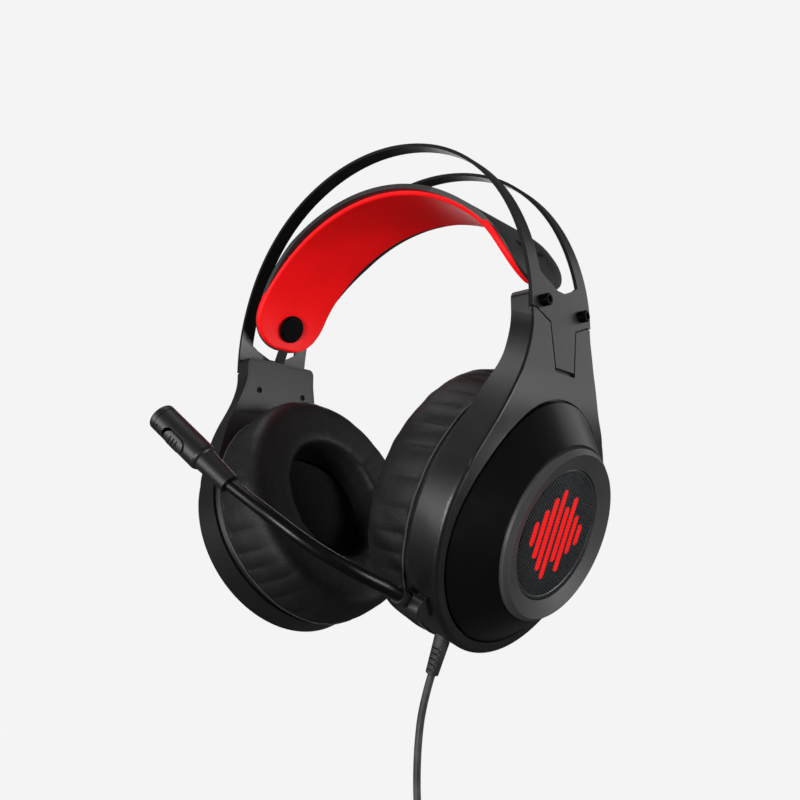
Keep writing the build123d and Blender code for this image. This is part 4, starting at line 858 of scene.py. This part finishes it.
class HEADSET_OT_cushions(bpy.types.Operator):
    """Make the two ear cushions, their piping, the skirts behind them and the cloths inside them"""

    bl_idname = "headset.cushions"
    bl_label = "Ear Cushions"

    def execute(self, context):
        sizes, colours = context.scene.headset_sizes, context.scene.headset_colours
        leather = leatherette("cushion_leather", "#0d0d0e", tuple(colours.leather), 0.52, specular=0.2)
        cloth = knit("ear_cloth_knit", "#0c0c0d", "#171718")
        skirt = leatherette("skirt_leather", "#0b0b0c", tuple(colours.leather), 0.46, 1700, 0.02)
        thread = webbing("seam_piping", "#1c1c1d", "#4c4c4e", 0.9, 0.7)
        for name, side in SIDES:
            rings = in_cup(cushion_points(sizes.pleats, sizes.pleat_depth, 11 + side), side)
            pad = ring_piece(f"cushion_{name}", rings, leather)
            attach(pad, f"cup_{name}")
            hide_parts(f"ear_pad_{name}")
            self.skirt(name, side, skirt)
            self.seam(name, side, thread)
            self.cloth(name, side, cloth)
        return {"FINISHED"}

    def skirt(self, name, side, finish):
        """The soft skirt that closes the gap between the hanger's rim and the cushion's seam: a thin
        section carried round the axis, whose outer face follows the rim's width at one end and the
        cushion's at the other. The rim's end stays with the hanger when the cup tilts."""
        section = smooth_line([(46.7, -0.75), (48.6, -0.72), (49.25, -0.85), (49.4, -1.5), (49.4, -2.4),
                               (49.3, -3.1), (48.8, -3.25), (48.3, -2.9), (48.2, -1.7), (46.75, -1.4)],
                              40, closed=True) * MM
        angle = round_angles(240)[:, None]
        start, end = -1.0 * MM, -3.2 * MM
        share = np.clip((start - section[:, 1]) / (start - end), 0, 1)
        rings = in_cup(round_axis(section[:, 0], angle, section[:, 1], share), side)
        gaiter = ring_piece(f"skirt_{name}", rings, finish)
        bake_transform(gaiter)

    def seam(self, name, side, finish):
        """The piping along the cushion's seam: a thin round cord carried round the axis, which
        wavers a little with the gathers."""
        angle, around = round_angles(360)[:, None], round_angles(10)
        thick = 0.34 * MM
        reach = SEAM_RADIUS + 0.06 * MM * np.sin(31 * angle) + thick * np.cos(around)
        level = SEAM_LEVEL + 0.1 * MM * np.sin(17 * angle + 1) + thick * np.sin(around)
        rings = in_cup(round_axis(reach, angle, level), side)
        uv = join(thick / MM * around, reach.mean() / MM * angle)
        piping = ring_piece(f"seam_{name}", rings, finish, uv)
        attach(piping, f"cup_{name}")

    def cloth(self, name, side, finish):
        """The cloth over the driver: a disc that sags a little towards its middle, on rings whose
        level falls with the square of the radius, and given its thickness."""
        radius = np.array([0.6, 3, 6, 9, 12, 15, 18, 21, 23.5, 25.3, 25.7]) * MM
        angle = round_angles(96)[:, None]
        edge_level, sag, thick = -8.0 * MM, 0.35 * MM, 0.3 * MM
        rings = round_axis(radius, angle, edge_level + sag * (1 - (radius / radius[-1]) ** 2), 0.0)
        points = np.concatenate([rings.reshape(-1, 3), [[0, -SHELL_DROP, edge_level + sag]]])
        number = len(points)
        quads = grid_quads(len(angle), len(radius), wrap_rows=True)
        points, faces = thicken(points, quads, np.array([0, 0, thick]))
        inner = (np.arange(len(angle)) * len(radius)).tolist()
        lids = [[first, second, number - 1] for first, second in zip(inner, inner[1:] + inner[:1])]
        lids += [[second + number, first + number, middle + number] for first, second, middle in lids]
        kept = [face for face in faces.tolist() if not (face[0] in inner and face[1] in inner)]
        sheet = mesh_piece(f"ear_sheet_{name}", in_cup(points, side), kept + lids, finish)
        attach(sheet, f"cup_{name}")
        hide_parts(f"ear_cloth_{name}")


class HEADSET_OT_strap(bpy.types.Operator):
    """Make the comfort strap's soft lining and its two elastic bands"""

    bl_idname = "headset.strap"
    bl_label = "Strap Lining and Elastics"

    def execute(self, context):
        self.lining(tuple(context.scene.headset_colours.lining))
        band = webbing("elastic_webbing", "#0c0c0d", "#262628")
        for name, side in SIDES:
            self.elastic(name, side, band)
        return {"FINISHED"}

    def half_width(self, height, tip):
        """Half width of the lining at a height: full over the head, narrower to the paddle ends,
        and rounded off to a quarter circle at each tip."""
        wide, narrow, high, low, corner = 25.0 * MM, 21.2 * MM, -8.0 * MM, -30.0 * MM, 18.1 * MM
        half = wide + (narrow - wide) * np.clip((high - height) / (high - low), 0, 1)
        return np.minimum(half, narrow - corner + corner * quarter_round((height - tip) / corner))

    def lining(self, colour):
        """The lining follows the strap's line from tip to tip. Each section is a flat back and a
        softly crowned face whose edges are quarter circles, pressed in round the two rivets. Its
        lip, the last half millimetre, turns up over the side of the shell."""
        rows, columns = 420, 64
        edge, thick, swell = 1.25 * MM, 1.5 * MM, 0.35 * MM
        dent, dent_reach = 0.55 * MM, 8.5 * MM
        lip, lip_slope, lip_height = 0.5 * MM, 0.15 * MM, 1.3 * MM
        end = STRAP_TIP - 0.0065
        angle = np.linspace(-1, 1, rows)[:, None] * end
        _, spine = strap_point(angle, STRAP_SHELL)
        half = self.half_width(spine, spine[-1, 0])
        across = np.linspace(-1, 1, columns)
        across = np.sign(across) * (1 - (1 - np.abs(across)) ** 1.6)
        y = half * across
        inside = half * (1 - np.abs(across))
        crown = swell * (1 - across ** 2) * np.clip(half / (20 * MM), 0, 1)
        off_rivet = y ** 2 + ((spine - RIVET_HEIGHT) / 0.85) ** 2
        press = dent * np.exp(-(off_rivet / dent_reach ** 2) ** 2)
        before_tip = (end - np.abs(angle)) * STRAP_END_RADIUS
        rounding = quarter_round(inside / edge) * quarter_round(before_tip / edge)
        low_x, low_z = strap_point(angle, STRAP_SHELL + 0.04 * MM + (thick + crown - press) * rounding)
        turned = np.clip((lip - inside) / lip_slope, 0, 1)
        high_x, high_z = strap_point(angle, STRAP_SHELL + 0.02 * MM - lip_height * turned)
        rings = np.concatenate([join(low_x, y, low_z), join(high_x, y * 0.998, high_z)[:, ::-1]], axis=1)
        finish = leatherette("lining_leather", paler(colour, 0.84), colour, 0.48, pebble=1500, depth=0.022,
                             crease=0.25, specular=0.14)
        lining = loft("strap_lining_cover", rings, finish)
        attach(lining, "strap")
        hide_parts("strap_pad")

    def elastic(self, name, side, finish):
        """An elastic band: it follows the strap's end arc inside the shell, leaves the tip, bends
        into the hanger's slot and goes down it. Its section is a flat bar with rounded edges."""
        centre = strap_centre()
        radius = STRAP_END_RADIUS - STRAP_SHELL + 0.45 * MM
        lean = np.radians(np.linspace(56.0, 80.0, 14))
        arc = join(centre[0] + radius * np.sin(lean), centre[1] + radius * np.cos(lean))
        rest = np.array([(77.2, -53.2), (78.7, -56.2), (79.25, -58.4), (79.3, -62.0), (79.3, -67.0),
                         (79.3, -72.0)])
        line = smooth_line(np.concatenate([arc, rest * MM]), 150)
        slope = np.gradient(line, axis=0)
        slope /= np.linalg.norm(slope, axis=1, keepdims=True)
        wide, deep = bar_outline(28, 3.0 * MM, 0.44 * MM, 0.3)
        flat = line[:, None] + join(slope[:, 1], -slope[:, 0])[:, None] * deep[:, None]
        run = np.concatenate([[0], np.cumsum(np.linalg.norm(np.diff(line, axis=0), axis=1))]) / MM
        band = loft(f"elastic_{name}", join(side * flat[..., 0], wide, flat[..., 1]), finish,
                    join(wide / MM, run[:, None]))
        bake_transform(band)
        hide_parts(f"elastic_band_{name}")


# ---- grilles

class HEADSET_OT_grilles(bpy.types.Operator):
    """Make the punched grilles and the lit guides behind them"""

    bl_idname = "headset.grilles"
    bl_label = "Lit Grilles"

    def execute(self, context):
        sizes, glow = context.scene.headset_sizes, tuple(context.scene.headset_colours.glow)
        for name, side in SIDES:
            points, faces = self.sheet(sizes.hole_pitch, sizes.hole_share)
            rim_points, rim_faces = self.rim(len(points))
            points = in_cup(np.concatenate([points, rim_points]), side)
            grille = mesh_piece(f"grille_sheet_{name}", points, faces.tolist() + rim_faces.tolist(),
                                punched_sheet(f"grille_enamel_{name}", side, glow), smooth=False)
            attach(grille, "frame")
            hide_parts(f"grille_{name}")
            dress(f"light_guide_{name}", lit_guide(f"lit_film_{name}", side, glow))
        return {"FINISHED"}

    def sheet(self, pitch, share):
        """The punched sheet: hexagons side by side, each a ring of quads from its outline, taken at
        its corners and at the middles of its sides, in to a round hole."""
        reach, corners = 23.9 * MM, 12
        count = int(reach / pitch) + 2
        row, column = np.meshgrid(*[np.arange(-count, count + 1) * 1.0] * 2)
        centres = join(row * pitch * math.sqrt(3) / 2, (column + 0.5 * (row % 2)) * pitch).reshape(-1, 2)
        centres = centres[np.hypot(*centres.T) < reach - pitch * 0.6]
        corner = np.arange(corners)
        circle = join(np.cos(corner * math.pi / 6), np.sin(corner * math.pi / 6))
        outline = circle * np.where(corner % 2 == 1, pitch / 2, pitch / math.sqrt(3))[:, None]
        hole = circle * pitch * share / 2
        flat = np.concatenate([centres[:, None] + outline, centres[:, None] + hole], axis=1).reshape(-1, 2)
        _, first, number = np.unique(np.round(flat / (0.01 * MM)).astype(int), axis=0, return_index=True,
                                     return_inverse=True)
        number = number.reshape(len(centres), 2 * corners)
        after = np.roll(corner, -1)
        quads = join(number[:, :corners], number[:, after], number[:, corners + after], number[:, corners:])
        points = join(*flat[first].T, SHEET_LEVEL)
        return thicken(points, quads.reshape(-1, 4), np.array([0, 0, -SHEET_THICK]))

    def rim(self, start):
        """The rolled rim over the sheet's edge: a small rounded section carried round the axis."""
        section = smooth_line(np.array([(24.45, 23.05), (24.45, 23.6), (24.1, 23.8), (23.5, 23.78),
                                        (23.1, 23.6), (23.1, 23.1), (23.8, 23.02)]) * MM, 20, closed=True)
        angle = round_angles(180)[:, None]
        rings = join(section[:, 0] * np.cos(angle), section[:, 0] * np.sin(angle), section[:, 1])
        return rings.reshape(-1, 3), grid_quads(*rings.shape[:2], wrap_rows=True, wrap_columns=True) + start


# ---- carried-over pieces

class HEADSET_OT_finishes(bpy.types.Operator):
    """Give every piece of the model that stays its own finish"""

    bl_idname = "headset.finishes"
    bl_label = "Finishes"

    def execute(self, context):
        shell = tuple(context.scene.headset_colours.shell)
        enamel = coated_steel("bow_enamel", "#0a0a0b", "#151516", 0.36)
        satin = moulded("satin_shell", "#0b0b0c", shell, 0.38, specular=0.4)
        gloss = moulded("polished_cover", "#030303", "#060607", 0.32, grain=5200, depth=0.003,
                        specular=0.3, wear=0.12)
        bezel = moulded("satin_bezel", "#303031", "#3c3c3d", 0.42, grain=3800, depth=0.008)
        inner = moulded("inner_plastic", "#0b0b0c", "#121213", 0.5)
        strap = moulded("strap_plastic", "#202021", "#303031", 0.44)
        mic = moulded("mic_plastic", "#101011", "#19191a", 0.4, grain=4200, depth=0.008)
        sleeve = rubber("boom_sleeve", "#040405", "#09090a", 0.34, 0.012, 0.2)
        relief = rubber("relief_rubber", "#222223", "#363638", 0.44)
        screw = moulded("black_screws", "#010101", "#020202", 0.5, depth=0.004, specular=0.06, wear=0.06)
        steel = machined("bright_steel", "#8d8f92", 0.3)
        driver = machined("driver_metal", "#5f6165", 0.35)
        gold = machined("plug_gold", "#d9b36a", 0.22)
        board = circuit("board_mask")
        button = moulded("rivet_plastic", "#010101", "#030303", 0.62, depth=0.02, specular=0.05, wear=0.03)
        ring = moulded("plug_insulator", "#0b0b0b", "#161616", 0.35)
        finishes = {
            "spring_bow": enamel, "bow_screws": screw, "cover_screws": screw,
            "strap_shell": strap, "mic_bracket": mic, "mic_hinge_pin": steel, "mic_hub": mic,
            "mic_boom": sleeve, "mic_body": mic, "mic_cap": mic, "mic_element": driver,
            "mute_slider": mic, "mute_switch": board, "strain_relief": relief,
            "plug_shell": relief, "plug_jack": gold, "plug_bands": ring,
        }
        for name, _ in SIDES:
            finishes.update({
                f"yoke_{name}": satin, f"yoke_cover_{name}": satin, f"cone_cover_{name}": gloss,
                f"bezel_{name}": bezel, f"light_board_{name}": board, f"ear_housing_{name}": inner,
                f"baffle_{name}": inner, f"baffle_screws_{name}": steel, f"tilt_pins_{name}": steel,
                f"driver_{name}": driver, f"pad_ring_{name}": inner, f"strap_rivet_{name}": button,
                f"strap_hook_{name}": inner,
            })
        for node, material in finishes.items():
            dress(node, material)
        bare = [name for name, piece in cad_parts.items()
                if not piece.hide_render and name not in finishes and not name.startswith("light_guide")]
        if bare:
            raise RuntimeError(f"these pieces have no finish: {bare}")
        return {"FINISHED"}


# ---- add-on

class HEADSET_PT_sidebar(bpy.types.Panel):
    """The headset's settings and the steps that make it"""

    bl_idname = "HEADSET_PT_sidebar"
    bl_label = "Headset"
    bl_space_type = "VIEW_3D"
    bl_region_type = "UI"
    bl_category = "Headset"

    def draw(self, context):
        for group in (context.scene.headset_colours, context.scene.headset_sizes):
            box = self.layout.box()
            for key in group.__annotations__:
                box.prop(group, key)
        for step in STEPS:
            self.layout.operator(step.bl_idname)


STEPS = (HEADSET_OT_stage, HEADSET_OT_cable, HEADSET_OT_cushions, HEADSET_OT_strap, HEADSET_OT_grilles,
         HEADSET_OT_finishes)
CLASSES = (HeadsetColours, HeadsetSizes, *STEPS, HEADSET_PT_sidebar)


def register():
    for item in CLASSES:
        bpy.utils.register_class(item)
    bpy.types.Scene.headset_colours = bpy.props.PointerProperty(type=HeadsetColours)
    bpy.types.Scene.headset_sizes = bpy.props.PointerProperty(type=HeadsetSizes)


def unregister():
    del bpy.types.Scene.headset_sizes
    del bpy.types.Scene.headset_colours
    for item in reversed(CLASSES):
        bpy.utils.unregister_class(item)


def main():
    register()
    for step in STEPS:
        group, action = step.bl_idname.split(".")
        getattr(getattr(bpy.ops, group), action)()


if __name__ == "__main__":
    main()
